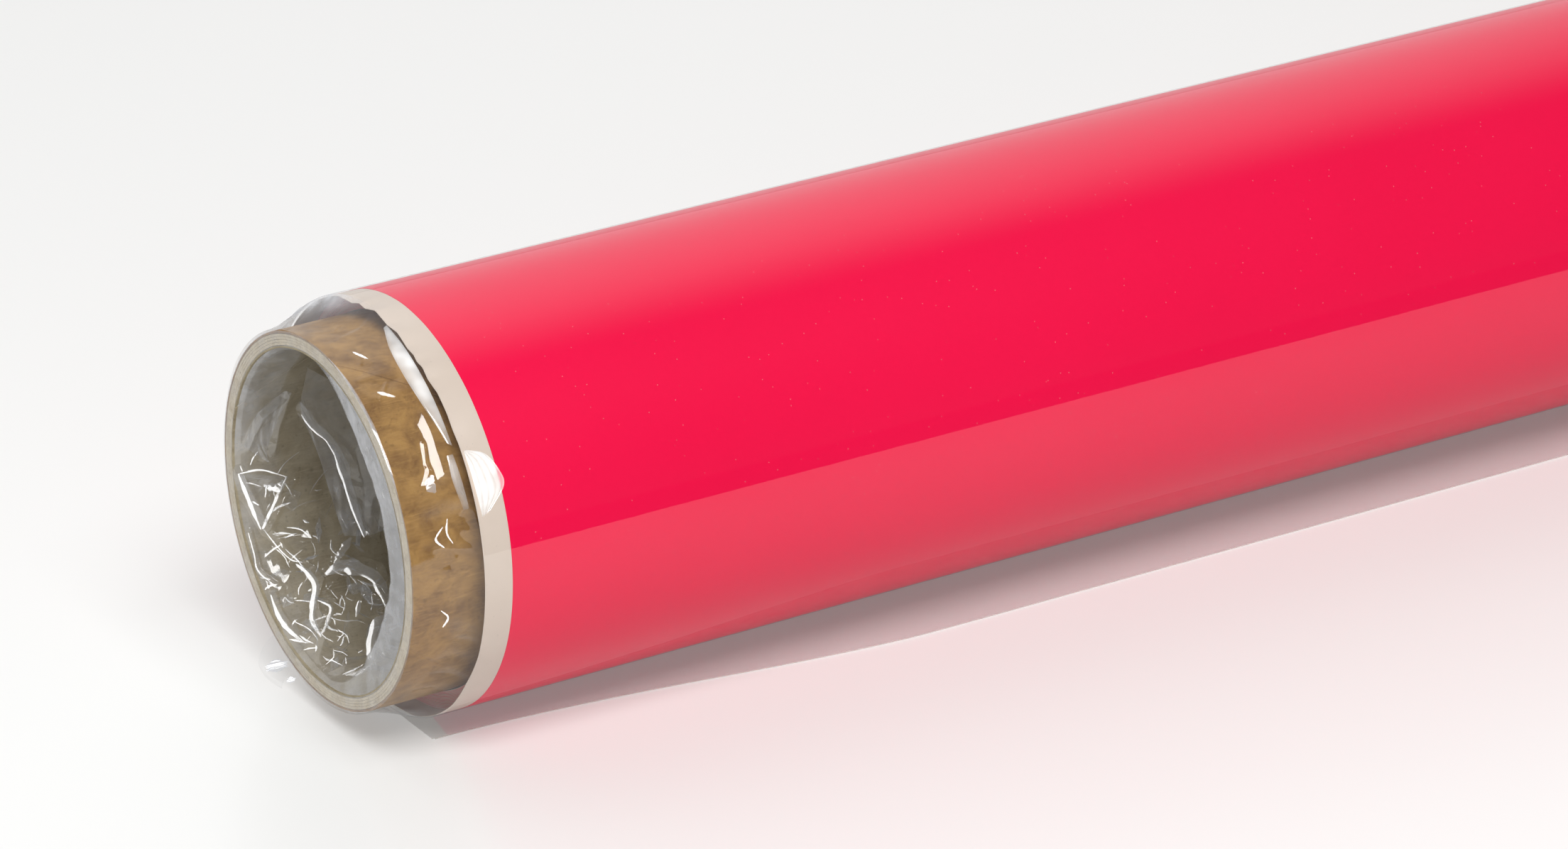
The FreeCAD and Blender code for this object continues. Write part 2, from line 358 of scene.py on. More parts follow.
# Chipboard: recycled grey-beige board, cut with a saw, so its edge is speckled and fuzzy.
CHIPBOARD = Paperboard("recycled chipboard, saw cut", ground="CEC1A6", mottle="B6A689",
                       fibre="DDD3BE", fleck="85704F", mottle_size=2.2, fibre_length=0.8,
                       fibre_width=0.5, fleck_size=0.5, fleck_share=0.5, relief=0.12)
# Liner: the same recycled pulp, pressed smooth, so it looks even and dull inside the bore.
LINER = Paperboard("grey liner board, pressed smooth", ground="A69B83", mottle="897D65",
                   fibre="B4A991", fleck="5E523C", mottle_size=9.0, relief=0.03)
# Release paper: calendered and siliconised, so it has a soft even off-white sheen.
BACKING = ReleasePaper("siliconised release paper", ground="CDBFB3", shade="C2B4A7")
# Vinyl: pigmented through, so the colour is saturated and even.
RED_FACE = VinylFace("cast vinyl, pigmented crimson", ground="E21045", deep="DC0D40")
# Shrink film: blown polyolefin, shrunk tight by hot air, so it mirrors lights in long streaks.
TIGHT_FILM = ClearFilm("polyolefin film, shrunk tight", grazing=0.42, dust=0.25,
                       ripple=0.008)
# Two layers sealed together mirror about twice as much, and lie flat on the table.
DOUBLE_FILM = ClearFilm("polyolefin film, two layers", head_on=0.2, grazing=1.2,
                        roughness=0.16)
# Painted highlight: milky white film that stands in for the main light's reflection where the
# film crosses the sheet's edge and margin.
PAINTED_GLARE_FILM = ClearFilm("polyolefin film, painted highlight", head_on=0.14, roughness=0.2,
                          haze_colour="FFFFFF")
# The same film where it is gathered: it is creased, thicker and slightly milky.
LOOSE_FILM = ClearFilm("polyolefin film, gathered", head_on=0.085, roughness=0.07, haze=0.015,
                       haze_colour="CDCFD4", ripple_size=5.0)
# Where the film was cut and sealed it melts to a bead, which looks like a bright thread.
MELTED_FILM = ClearFilm("polyolefin film, melted seal", head_on=0.16, roughness=0.12,
                        haze=0.25, haze_colour="F2EFEC", tint="EFEDEA", ripple_size=3.0)
# Acrylic tape: thin and slightly yellow, so it only darkens what it lies on a little.
TAPE = ClearFilm("acrylic adhesive tape", tint="F8F6EE", roughness=0.12, haze=0.02,
                 haze_colour="EFEBDD", head_on=0.03, grazing=0.3)
# Opal acrylic: light from below fills the shadows on it, so they stay soft and pale.
TABLE_TOP = PaleTable("opal acrylic", ground="C5C5C4", lit_from_below=0.51)


# --------------------------------------------------------------------------- meshes


def around(along: Field | float, radius: Field | float, angle: Field | float) -> Field:
    """Points of the row frame, in metres, from places about the roll's axis.

    Args:
        along: Distance along X from the roll's middle.
        radius: Distance from the axis.
        angle: Degrees from the rear side towards the top.

    Returns:
        An array with a last axis of three.
    """
    along, radius, turn = np.broadcast_arrays(along, radius, np.radians(angle))
    height = ROLL.axis_height + radius * np.sin(turn)
    return np.stack([along, radius * np.cos(turn), height], -1) * MM


def linked(name: str, data: bpy.types.ID) -> bpy.types.Object:
    """Put an object with this data into the scene."""
    made = bpy.data.objects.new(name, data)
    bpy.context.scene.collection.objects.link(made)
    return made


def grid_piece(name: str, points: Field | Sequence[Field], finish: Finish, *,
               ring_rows: bool = False, ring_columns: bool = False, caps: bool = False,
               sharp: float = 40.0, milk: Field | Sequence[Field] | None = None,
               ) -> bpy.types.Object:
    """Make a piece from one or more grids of points, with a quad in each cell.

    Args:
        name: The piece's name.
        points: Rows and columns of points, in metres, or several such grids.
        finish: The finish that it wears.
        ring_rows: Whether the last row joins the first.
        ring_columns: Whether the last column joins the first.
        caps: Whether the first and last rows are closed with a face.
        sharp: Edges that turn by more than this many degrees stay sharp.
        milk: How milky the film is at each point, for a finish that reads it.

    Returns:
        The piece, linked into the scene.
    """
    grids = [points] if isinstance(points, np.ndarray) else list(points)
    faces: list[list[int]] = []
    first = 0
    for grid in grids:
        rows, columns = grid.shape[:2]
        index = first + np.arange(rows * columns).reshape(rows, columns)
        first += rows * columns
        if caps:
            faces.append(index[0].tolist())
            faces.append(index[-1, ::-1].tolist())
        if ring_rows:
            index = np.vstack([index, index[:1]])
        if ring_columns:
            index = np.hstack([index, index[:, :1]])
        quads = np.stack([index[:-1, :-1], index[:-1, 1:], index[1:, 1:], index[1:, :-1]], -1)
        faces += quads.reshape(-1, 4).tolist()
    mesh = bpy.data.meshes.new(name)
    mesh.from_pydata(np.concatenate([grid.reshape(-1, 3) for grid in grids]).tolist(), [], faces)
    mesh.shade_smooth()
    mesh.set_sharp_from_angle(angle=math.radians(sharp))
    if milk is not None:
        values = [milk] if isinstance(milk, np.ndarray) else list(milk)
        layer = mesh.attributes.new(MILK, "FLOAT", "POINT")
        layer.data.foreach_set("value", np.concatenate([part.ravel() for part in values]))
    mesh.materials.append(finish.material())
    piece = linked(name, mesh)
    piece.visible_shadow = finish.casts_shadow
    return piece


def outward(piece: bpy.types.Object) -> bpy.types.Object:
    """Turn a closed piece's faces outwards, judged by the sign of its volume."""
    mesh = piece.data
    mesh.calc_loop_triangles()
    corners = np.zeros(len(mesh.vertices) * 3)
    mesh.vertices.foreach_get("co", corners)
    corners = corners.reshape(-1, 3)
    thirds = np.zeros(len(mesh.loop_triangles) * 3, dtype=np.int64)
    mesh.loop_triangles.foreach_get("vertices", thirds)
    a, b, c = (corners[thirds.reshape(-1, 3)[:, at]] for at in range(3))
    if np.einsum("ij,ij->i", a, np.cross(b, c)).sum() < 0:
        mesh.flip_normals()
    return piece


def settle(piece: bpy.types.Object, slot: str, nodes: Iterable[str]) -> bpy.types.Object:
    """Fix a finished piece to the roll, and say what it stands for.

    Args:
        piece: The piece.
        slot: The record's material slot.
        nodes: The CAD nodes that it stands for.

    Returns:
        The same piece.
    """
    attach(piece, "root")
    stood_for = list(nodes)
    if stood_for:
        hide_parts(*stood_for)
    LOG.info("%s: %d faces, slot %s, for %s", piece.name, len(piece.data.polygons), slot,
             ", ".join(stood_for) or "itself")
    return piece


def settle_sheet(name: str, upper: Field, lower: Field, finish: Finish, slot: str,
                 node: str) -> None:
    """Make a thin closed piece from its two surfaces, and fix it to the roll.

    Args:
        name: The piece's name.
        upper: The grid of its outer surface.
        lower: The grid of its inner surface, with as many points.
        finish: The finish that it wears.
        slot: The record's material slot.
        node: The CAD node that it stands for.
    """
    loop = np.concatenate([upper, lower[:, ::-1]], axis=1)
    piece = grid_piece(name, loop, finish, ring_columns=True, caps=True)
    settle(outward(piece), slot, [node])

def wobble(values: Field, seed: int, terms: int = 6, period: float = FULL_TURN) -> Field:
    """A smooth random wave that repeats after a period, between about -1 and 1.

    Args:
        values: Where it is wanted.
        seed: Which wave.
        terms: How many harmonics it has.
        period: The length after which it repeats.

    Returns:
        Its height at each value.
    """
    random = np.random.default_rng(seed)
    total = np.zeros_like(np.asarray(values, float))
    for order in range(1, terms + 1):
        phase = random.uniform(0, 2 * math.pi)
        total = total + np.sin(2 * math.pi * order * values / period + phase) / order ** 0.5
    return total / terms ** 0.5


def smooth(value: Field, low: float, high: float) -> Field:
    """Rise smoothly from 0 at low to 1 at high."""
    share = np.clip((value - low) / (high - low), 0, 1)
    return share * share * (3 - 2 * share)


def turned(angle: Field, middle: float) -> Field:
    """Signed degrees from a middle angle, between -180 and 180."""
    return (np.asarray(angle) - middle + 180.0) % FULL_TURN - 180.0
def between(first: Field, second: Field, count: int) -> Field:
    """Evenly spaced points from each point of one line to its partner on another."""
    part = np.linspace(0, 1, count)[None, :, None]
    return first[:, None] * (1 - part) + second[:, None] * part

# --------------------------------------------------------------------------- sizes


@dataclass(frozen=True)
class Span:
    """A CAD node's place: its ends along X, and its inner and outer radius about the axis."""

    low: float
    high: float
    inside: float
    outside: float

    @classmethod
    def of(cls, node: str, axis_height: float) -> "Span":
        """Measure a node's own vertices, which lie on its true circles."""
        places = np.array([v.co for v in frame["nodes"][node].data.vertices]) / MM
        reach = np.hypot(places[:, 1], places[:, 2] - axis_height)
        return cls(places[:, 0].min(), places[:, 0].max(), reach.min(), reach.max())


@dataclass(frozen=True)
class RollSizes:
    """The roll's main sizes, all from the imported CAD."""

    axis_height: float
    bore: float
    core: float
    half_core: float
    half_sheet: float
    half_face: float
    half_wound: float
    web_start: float
    pack: float
    film: float

    @classmethod
    def from_frame(cls) -> "RollSizes":
        """Read them from the record's mount and the nodes' meshes."""
        axis = frame["record"]["mounts"][0]["pos_m"][2] / MM
        liner = Span.of("core_ply_1", axis)
        kraft = Span.of("core_ply_6", axis)
        wound = Span.of("wound_backing", axis)
        cover = Span.of("cover_red_face", axis)
        sleeve = Span.of("film_sleeve", axis)
        return cls(
            axis_height=axis, bore=liner.inside, core=kraft.outside, half_core=kraft.high,
            half_sheet=sleeve.high, half_face=cover.high, half_wound=wound.high,
            web_start=wound.inside, pack=cover.outside, film=sleeve.outside)


ROLL = RollSizes.from_frame()


# --------------------------------------------------------------------------- core


@dataclass
class Core:
    """The spiral-wound paperboard core: six plies, glued one on another and sawn to length."""

    plies: int = 6
    columns: int = 300
    seamed_rows: int = 100
    seam_pitch: float = 300.0
    seam_width: float = 0.45
    seam_depth: float = 0.22
    ghost_depth: float = 0.05
    liner_depth: float = 0.15
    saw_fuzz: float = 0.09
    edge_round: float = 0.16
    kraft_seam: float = 104.0
    kraft_ghost: float = 199.0
    liner_seam: float = 20.0
    # Where rows lie near an end, finest at the saw cut, and where the even rows begin.
    end_rows: tuple[float, ...] = (0.0, 0.25, 0.6, 1.2, 2.0, 3.0, 4.5, 6.0, 8.0, 10.0, 12.0,
                                   14.0, 17.0, 20.0, 25.0, 30.0, 36.0)
    even_from: float = 46.0

    def build(self) -> None:
        """Make all six plies."""
        wall = (ROLL.core - ROLL.bore) / self.plies
        for ply in range(self.plies):
            inside = ROLL.bore + ply * wall
            seams = []
            name = f"board_ply_{ply + 1}"
            finish, slot = CHIPBOARD, "core_board"
            if ply == 0:
                name, finish, slot = "bore_liner", LINER, "core_liner"
                seams = [(self.liner_seam, self.liner_depth, False)]
            if ply == self.plies - 1:
                name, finish, slot = "kraft_wrap", KRAFT, "core_kraft"
                seams = [(self.kraft_seam, self.seam_depth, True),
                         (self.kraft_ghost, self.ghost_depth, True)]
            piece = self.ply(name, inside, inside + wall, finish, seams, ply)
            settle(piece, slot, [f"core_ply_{ply + 1}"])

    def ply(self, name: str, inside: float, outside: float, finish: Finish,
            seams: Sequence[tuple[float, float, bool]], seed: int) -> bpy.types.Object:
        """Make one ply as a tube with sawn ends and, where it shows, a helical butt seam.

        Args:
            name: The piece's name.
            inside: Inner radius.
            outside: Outer radius.
            finish: Its finish.
            seams: For each seam, its angle at the left end, its depth and whether it is outside.
            seed: Which random saw fuzz.

        Returns:
            The ply.
        """
        fine = np.array(self.end_rows)
        even = np.linspace(-ROLL.half_core + self.even_from, ROLL.half_core - self.even_from,
                           self.seamed_rows if seams else 2)
        along = np.concatenate([-ROLL.half_core + fine, even, (ROLL.half_core - fine)[::-1]])
        angle = np.linspace(0, FULL_TURN, self.columns, endpoint=False)
        if seams:
            half = math.degrees(self.seam_width / outside) / 2
            extra = [seam + step for seam, _, _ in seams
                     for step in (-half * 1.6, -half, 0, half, half * 1.6)]
            angle = np.sort(np.concatenate([angle, np.array(extra) % FULL_TURN]))
        twist = FULL_TURN / self.seam_pitch if seams else 0.0
        turn = angle[:, None] + twist * (along[None, :] + ROLL.half_core)
        outer = np.full(turn.shape, outside)
        inner = np.full(turn.shape, inside)
        for seam, depth, on_outside in seams:
            half = math.degrees(self.seam_width / outside) / 2
            groove = depth * (1 - smooth(np.abs(turned(angle, seam)), half * 0.9, half * 1.6))
            if on_outside:
                outer = outer - groove[:, None]
            else:
                inner = inner + groove[:, None]
        # The saw rounds the ends' corners and leaves them slightly fuzzy.
        to_end = np.minimum(along + ROLL.half_core, ROLL.half_core - along)
        corner = self.edge_round * (1 - smooth(to_end, 0, 0.5)) * (1.0 if seams else 0.25)
        at_end = (to_end < 0.01)[None, :]
        fuzz = np.abs(self.saw_fuzz * wobble(angle, 40 + seed, 60))[:, None] * at_end
        tight = self.saw_fuzz * np.abs(wobble(angle * 3, 50 + seed, 40))[:, None]
        nibble = tight * at_end
        places = along[None, :] - fuzz * np.sign(along)[None, :]
        upper = around(places, outer - corner * 0.7 - nibble, turn)
        lower = around(places, inner + corner[None, :] * 0.35, turn)
        loop = np.concatenate([upper, lower[:, ::-1]], axis=1)
        return outward(grid_piece(name, loop, finish, ring_rows=True, ring_columns=True))


# --------------------------------------------------------------------------- sheet


@dataclass
class WoundSheet:
    """The sheet, wound in a spiral: turns under the cover, and the cover as the last turn."""

    turns: int = 21
    per_turn: int = 96
    cover_columns: int = 420
    backing: float = 0.12
    face: float = 0.08
    tail_angle: float = -35.0
    telescope: float = 0.22
    press_reach: float = 3.2
    edge_wave: float = 0.1
    # How far the right end's dents are turned from the left end's.
    right_turn: float = 130.0
    # Where rows lie near an edge, and the even rows between them.
    edge_rows: tuple[float, ...] = (0, 0.15, 0.5, 1, 1.6, 2.4, 3.2, 4.2, 5.4, 6.6, 8, 10, 13, 18,
                                    30)
    even_from: float = 60.0
    even_rows: int = 24
    # Places where handling has pressed the cover's front edge in: angle, depth, half width.
    dents: tuple[tuple[float, float, float], ...] = (
        (78.0, 1.05, 7.0), (85.5, 1.0, 5.0), (98.0, 0.9, 6.0), (109.0, 1.0, 6.5),
        (114.5, 1.0, 3.4), (121.0, 0.9, 5.0), (137.0, 0.35, 4.0), (20.0, 0.5, 9.0),
        (215.0, 0.5, 12.0), (262.0, 0.6, 9.0), (310.0, 0.4, 12.0))

    @property
    def pitch(self) -> float:
        """How much a turn adds to the radius."""
        return self.backing + self.face

    def build(self) -> None:
        """Make the wound turns and the cover."""
        start = ROLL.web_start
        self.wound("wound_backing_turns", start, self.backing, BACKING, "backing_paper",
                   "wound_backing")
        self.wound("wound_red_turns", start + self.backing, self.face, RED_FACE, "red_face",
                   "wound_red_face")
        cover = start + self.turns * self.pitch
        self.cover("cover_backing_turn", cover, self.backing, ROLL.half_sheet, BACKING,
                   "backing_paper", "cover_backing")
        self.cover("cover_red_turn", cover + self.backing, self.face, ROLL.half_face, RED_FACE,
                   "red_face", "cover_red_face")

    def wound(self, name: str, start: float, wall: float, finish: Finish, slot: str,
              node: str) -> None:
        """Make one layer of the wound turns, its ends telescoped a little from turn to turn."""
        steps = np.arange(self.turns * self.per_turn + 1)
        angle = self.tail_angle + FULL_TURN * steps / self.per_turn
        radius = start + self.pitch * steps / self.per_turn
        ends = []
        for side in Side:
            drift = self.telescope * wobble(angle, 7 + side.value, 9, FULL_TURN * self.turns)
            ends.append(side.value * (ROLL.half_wound - np.abs(drift)))
        low, high = ends
        section = [(low, radius), (high, radius), (high, radius + wall), (low, radius + wall)]
        points = np.stack([around(x, r, angle) for x, r in section], axis=1)
        piece = grid_piece(name, points, finish, ring_columns=True, caps=True)
        settle(outward(piece), slot, [node])

    def edge_press(self, angle: Field, from_edge: Field) -> Field:
        """How far the cover is pressed inwards, at an angle and a distance from its edge."""
        depth = np.zeros_like(angle)
        for middle, press, half in self.dents:
            depth = np.maximum(depth, press * (1 - np.clip(
                np.abs(turned(angle, middle)) / half, 0, 1)) ** 0.8)
        depth = depth + self.edge_wave * (1 + wobble(angle, 3, 14))
        return depth * np.exp(-(from_edge / self.press_reach) ** 1.5)

    def cover(self, name: str, start: float, wall: float, half: float, finish: Finish,
              slot: str, node: str) -> None:
        """Make one layer of the cover turn, with its edges pressed in here and there."""
        angle = self.tail_angle + np.linspace(0, FULL_TURN, self.cover_columns + 1)
        climb = self.pitch * np.linspace(0, 1, self.cover_columns + 1)
        fine = np.array(self.edge_rows)
        even = np.linspace(-half + self.even_from, half - self.even_from, self.even_rows)
        along = np.concatenate([-half + fine, even, (half - fine)[::-1]])
        turn, place = np.meshgrid(angle, along, indexing="ij")
        from_edge = ROLL.half_sheet - np.abs(place)
        press = self.edge_press(turn + np.where(place > 0, self.right_turn, 0.0), from_edge)
        lower = start + climb[:, None] - press
        settle_sheet(name, around(place, lower + wall, turn), around(place, lower, turn),
                     finish, slot, node)


# --------------------------------------------------------------------------- tape


@dataclass
class Tapes:
    """Tapes in threes: under the first turn on the core, and over the tail edge."""

    start_wall: float = 0.1
    start_reach: float = 17.0
    tail_wall: float = 0.05
    tail_reach: float = 14.0
    tail_angle: float = -35.0
    columns: int = 40
    rows: int = 12
    tooth: float = 0.25
    glue_gap: float = 0.005

    def build(self) -> None:
        """Make the six strips."""
        for place in ("left", "middle", "right"):
            self.strip("start", place, ROLL.core, self.start_wall, self.start_reach)
            self.strip("tail", place, ROLL.pack, self.tail_wall, self.tail_reach)

    def strip(self, kind: str, place: str, inside: float, wall: float, reach: float) -> None:
        """Make one strip, bent to the roll, with a slightly ragged cut edge."""
        node = f"{kind}_tape_{place}"
        span = Span.of(node, ROLL.axis_height)
        angle = self.tail_angle + np.linspace(-reach, reach, self.columns)
        rows = np.linspace(span.low, span.high, self.rows)
        turn, along = np.meshgrid(angle, rows, indexing="ij")
        tooth = np.zeros(self.columns)
        tooth[::2] = self.tooth
        along = along + np.where(along == span.low, tooth[:, None], 0.0)
        settle_sheet(f"{kind}_strip_{place}", around(along, inside + wall, turn),
                     around(along, inside + self.glue_gap, turn), TAPE, "tape", node)


# --------------------------------------------------------------------------- film


@dataclass(frozen=True)
class Fold:
    """A crease in the film: a line of (distance, angle) points that stands proud of it."""

    points: Line
    height: float
    width: float = 1.1
    lean: float = 0.0


def distance_to(fold: Fold, distance: Field, angle: Field, radius: float) -> tuple[Field, Field]:
    """How far each place of a film is from a fold's line, and on which side of it.

    Args:
        fold: The fold.
        distance: Each place's distance along the roll.
        angle: Each place's angle.
        radius: The radius that turns angles into arc lengths.

    Returns:
        The distance to the line, and a signed distance whose sign tells the side.
    """
    arc = math.radians(1) * radius
    nearest = np.full(distance.shape, 1e9)
    side = np.zeros(distance.shape)
    middle = fold.points[0][1]
    place_arc = turned(angle, middle) * arc
    for (d0, a0), (d1, a1) in zip(fold.points, fold.points[1:]):
        start = np.array([d0, (a0 - middle) * arc])
        run = np.array([d1, (a1 - middle) * arc]) - start
        length = max(float(run @ run), 1e-9)
        to_d, to_a = distance - start[0], place_arc - start[1]
        share = np.clip((to_d * run[0] + to_a * run[1]) / length, 0, 1)
        gap = np.hypot(to_d - share * run[0], to_a - share * run[1])
        closer = gap < nearest
        nearest = np.where(closer, gap, nearest)
        cross = (to_d * run[1] - to_a * run[0]) / math.sqrt(length)
        side = np.where(closer, cross, side)
    return nearest, side


def fold_height(folds: Iterable[Fold], distance: Field, angle: Field, radius: float) -> Field:
    """The height that folds add to a film, each a ridge with straight flanks."""
    total = np.zeros(distance.shape)
    for fold in folds:
        gap, side = distance_to(fold, distance, angle, radius)
        width = fold.width * (1 + fold.lean * np.sign(side))
        total = np.maximum(total, fold.height * np.clip(1 - gap / width, 0, 1))
    return total


def facets(distances: Field, angles: Field, radius: float, spacing: float,
           seed: int) -> Field:
    """A crumpled height: scattered points with random heights, joined by flat triangles.

    Args:
        distances: The grid's rows, as rising distances along the roll.
        angles: The grid's columns, as rising angles from 0 to less than a full turn.
        radius: The radius that turns angles into arc lengths.
        spacing: The usual gap between the scattered points.
        seed: Which crumpling.

    Returns:
        Heights between -1 and 1, a row for each distance and a column for each angle.
    """
    random = np.random.default_rng(seed)
    arcs = np.radians(angles) * radius
    girth = 2 * math.pi * radius
    low, high = distances[0] - spacing, distances[-1] + spacing
    u, v = (part.ravel() for part in np.meshgrid(
        np.arange(0, girth - spacing / 2, spacing), np.arange(low, high + spacing, spacing)))
    u = (u + random.uniform(-0.48, 0.48, u.size) * spacing) % girth
    v = v + random.uniform(-0.48, 0.48, v.size) * spacing
    height = random.uniform(-1, 1, u.size)
    # The first and last stretches are repeated past each other, so that the turn closes.
    margin = 3 * spacing
    near_start, near_end = u < margin, u > girth - margin
    u = np.concatenate([u, u[near_start] + girth, u[near_end] - girth])
    v = np.concatenate([v, v[near_start], v[near_end]])
    height = np.concatenate([height, height[near_start], height[near_end]])
    corners, _, faces, origins, _, _ = delaunay_2d_cdt(
        [Vector(pair) for pair in zip(u, v)], [], [], 0, 1e-6)
    places = np.array([tuple(corner) for corner in corners])
    tall = np.array([height[own[0]] if own else 0.0 for own in origins])
    made = np.zeros((len(distances), len(angles)))
    for face in faces:
        (x0, y0), (x1, y1), (x2, y2) = places[list(face)]
        area = (x1 - x0) * (y2 - y0) - (x2 - x0) * (y1 - y0)
        rows = slice(*np.searchsorted(distances, (min(y0, y1, y2), max(y0, y1, y2))))
        columns = slice(*np.searchsorted(arcs, (min(x0, x1, x2), max(x0, x1, x2))))
        down, across = distances[rows][:, None] - y0, arcs[columns][None, :] - x0
        second = (across * (y2 - y0) - down * (x2 - x0)) / area
        third = (down * (x1 - x0) - across * (y1 - y0)) / area
        inside = (second >= -1e-6) & (third >= -1e-6) & (second + third <= 1 + 1e-6)
        h0, h1, h2 = tall[list(face)]
        value = h0 + second * (h1 - h0) + third * (h2 - h0)
        made[rows, columns] = np.where(inside, value, made[rows, columns])
    return made


@dataclass
class FilmSleeve:
    """The shrunk sleeve round the sheet, and its sealed fin lying on the table."""

    columns: int = 300
    rows: int = 160
    slack: float = 0.012
    fin_thickness: float = 0.12
    fin_wave: float = 0.35
    fin_lift: float = 0.14
    fin_root: float = 3.4
    fin_rows: int = 700
    fin_columns: int = 14
    # The fin narrows by this much, over this length, to each end.
    fin_narrows: float = 13.0
    narrowing: float = 118.0
    bead: float = 0.16
    bead_change: float = 0.05
    bead_rows: int = 1400
    bead_columns: int = 8

    def build(self) -> None:
        """Make the sleeve, the fin and its melted bead."""
        self.sleeve()
        self.fin()
        self.seal()

    def sleeve(self) -> None:
        """A tube with faint lengthways shrink ripples."""
        angle = np.linspace(0, FULL_TURN, self.columns, endpoint=False)
        along = np.linspace(-ROLL.half_sheet, ROLL.half_sheet, self.rows)
        turn, place = np.meshgrid(angle, along)
        ripple = wobble(turn, 21, 24) * (0.6 + 0.4 * wobble(place, 22, 5, 2 * ROLL.half_core))
        radius = ROLL.film - 0.01 - self.slack * (1 + ripple)
        piece = grid_piece("shrunk_sleeve", around(place, radius, turn), TIGHT_FILM,
                           ring_columns=True)
        settle(piece, "film", ["film_sleeve"])

    def fin_edge(self, along: Field) -> Field:
        """The fin's free edge, as a distance to the front of the roll's middle line."""
        low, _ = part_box("film_fin")
        widest = -low.y / MM
        to_end = ROLL.half_sheet - np.abs(along)
        return widest - self.fin_narrows * (1 - smooth(to_end, 0.0, self.narrowing)) ** 0.8

    def fin_height(self, along: Field, front: Field) -> Field:
        """The fin's height over the table: nearly flat, with a few long shallow waves."""
        wave = wobble(along, 31, 30, 2 * ROLL.half_sheet) * smooth(front, 5.0, 30.0)
        rise = smooth(front, 4.0, 30.0)
        return self.fin_lift + self.fin_wave * (0.5 + 0.5 * wave) * rise

    def fin(self) -> None:
        """Two layers of film sealed together, drawn as one closed thin sheet."""
        along = np.linspace(-ROLL.half_sheet, ROLL.half_sheet, self.fin_rows)
        share = np.linspace(0, 1, self.fin_columns)
        place, part = np.meshgrid(along, share, indexing="ij")
        front = self.fin_root + (self.fin_edge(place) - self.fin_root) * part
        height = self.fin_height(place, front)
        upper = np.stack([place, -front, height], -1) * MM
        lower = np.stack([place, -front, height - self.fin_thickness], -1) * MM
        settle_sheet("sealed_fin", upper, lower, DOUBLE_FILM, "film", "film_fin")

    def seal(self) -> None:
        """The melted bead along the fin's edge, uneven as a hot wire leaves it."""
        along = np.linspace(-ROLL.half_sheet + 0.5, ROLL.half_sheet - 0.5, self.bead_rows)
        edge = self.fin_edge(along)
        middle = self.fin_height(along, edge)
        uneven = self.bead_change * wobble(along, 33, 220, 2 * ROLL.half_sheet)
        thick = np.clip(self.bead + uneven, 0.08, 0.3)
        around_bead = np.linspace(0, 2 * math.pi, self.bead_columns, endpoint=False)
        front = edge[:, None] + 0.25 + thick[:, None] * np.cos(around_bead)
        height = middle[:, None] - 0.03 + thick[:, None] * np.sin(around_bead) * 0.8
        place = np.repeat(along[:, None], self.bead_columns, axis=1)
        points = np.stack([place, -front, np.maximum(height, 0.01)], -1) * MM
        piece = grid_piece("seal_bead", points, MELTED_FILM, ring_columns=True, caps=True)
        settle(outward(piece), "film", ["film_fin_seal"])


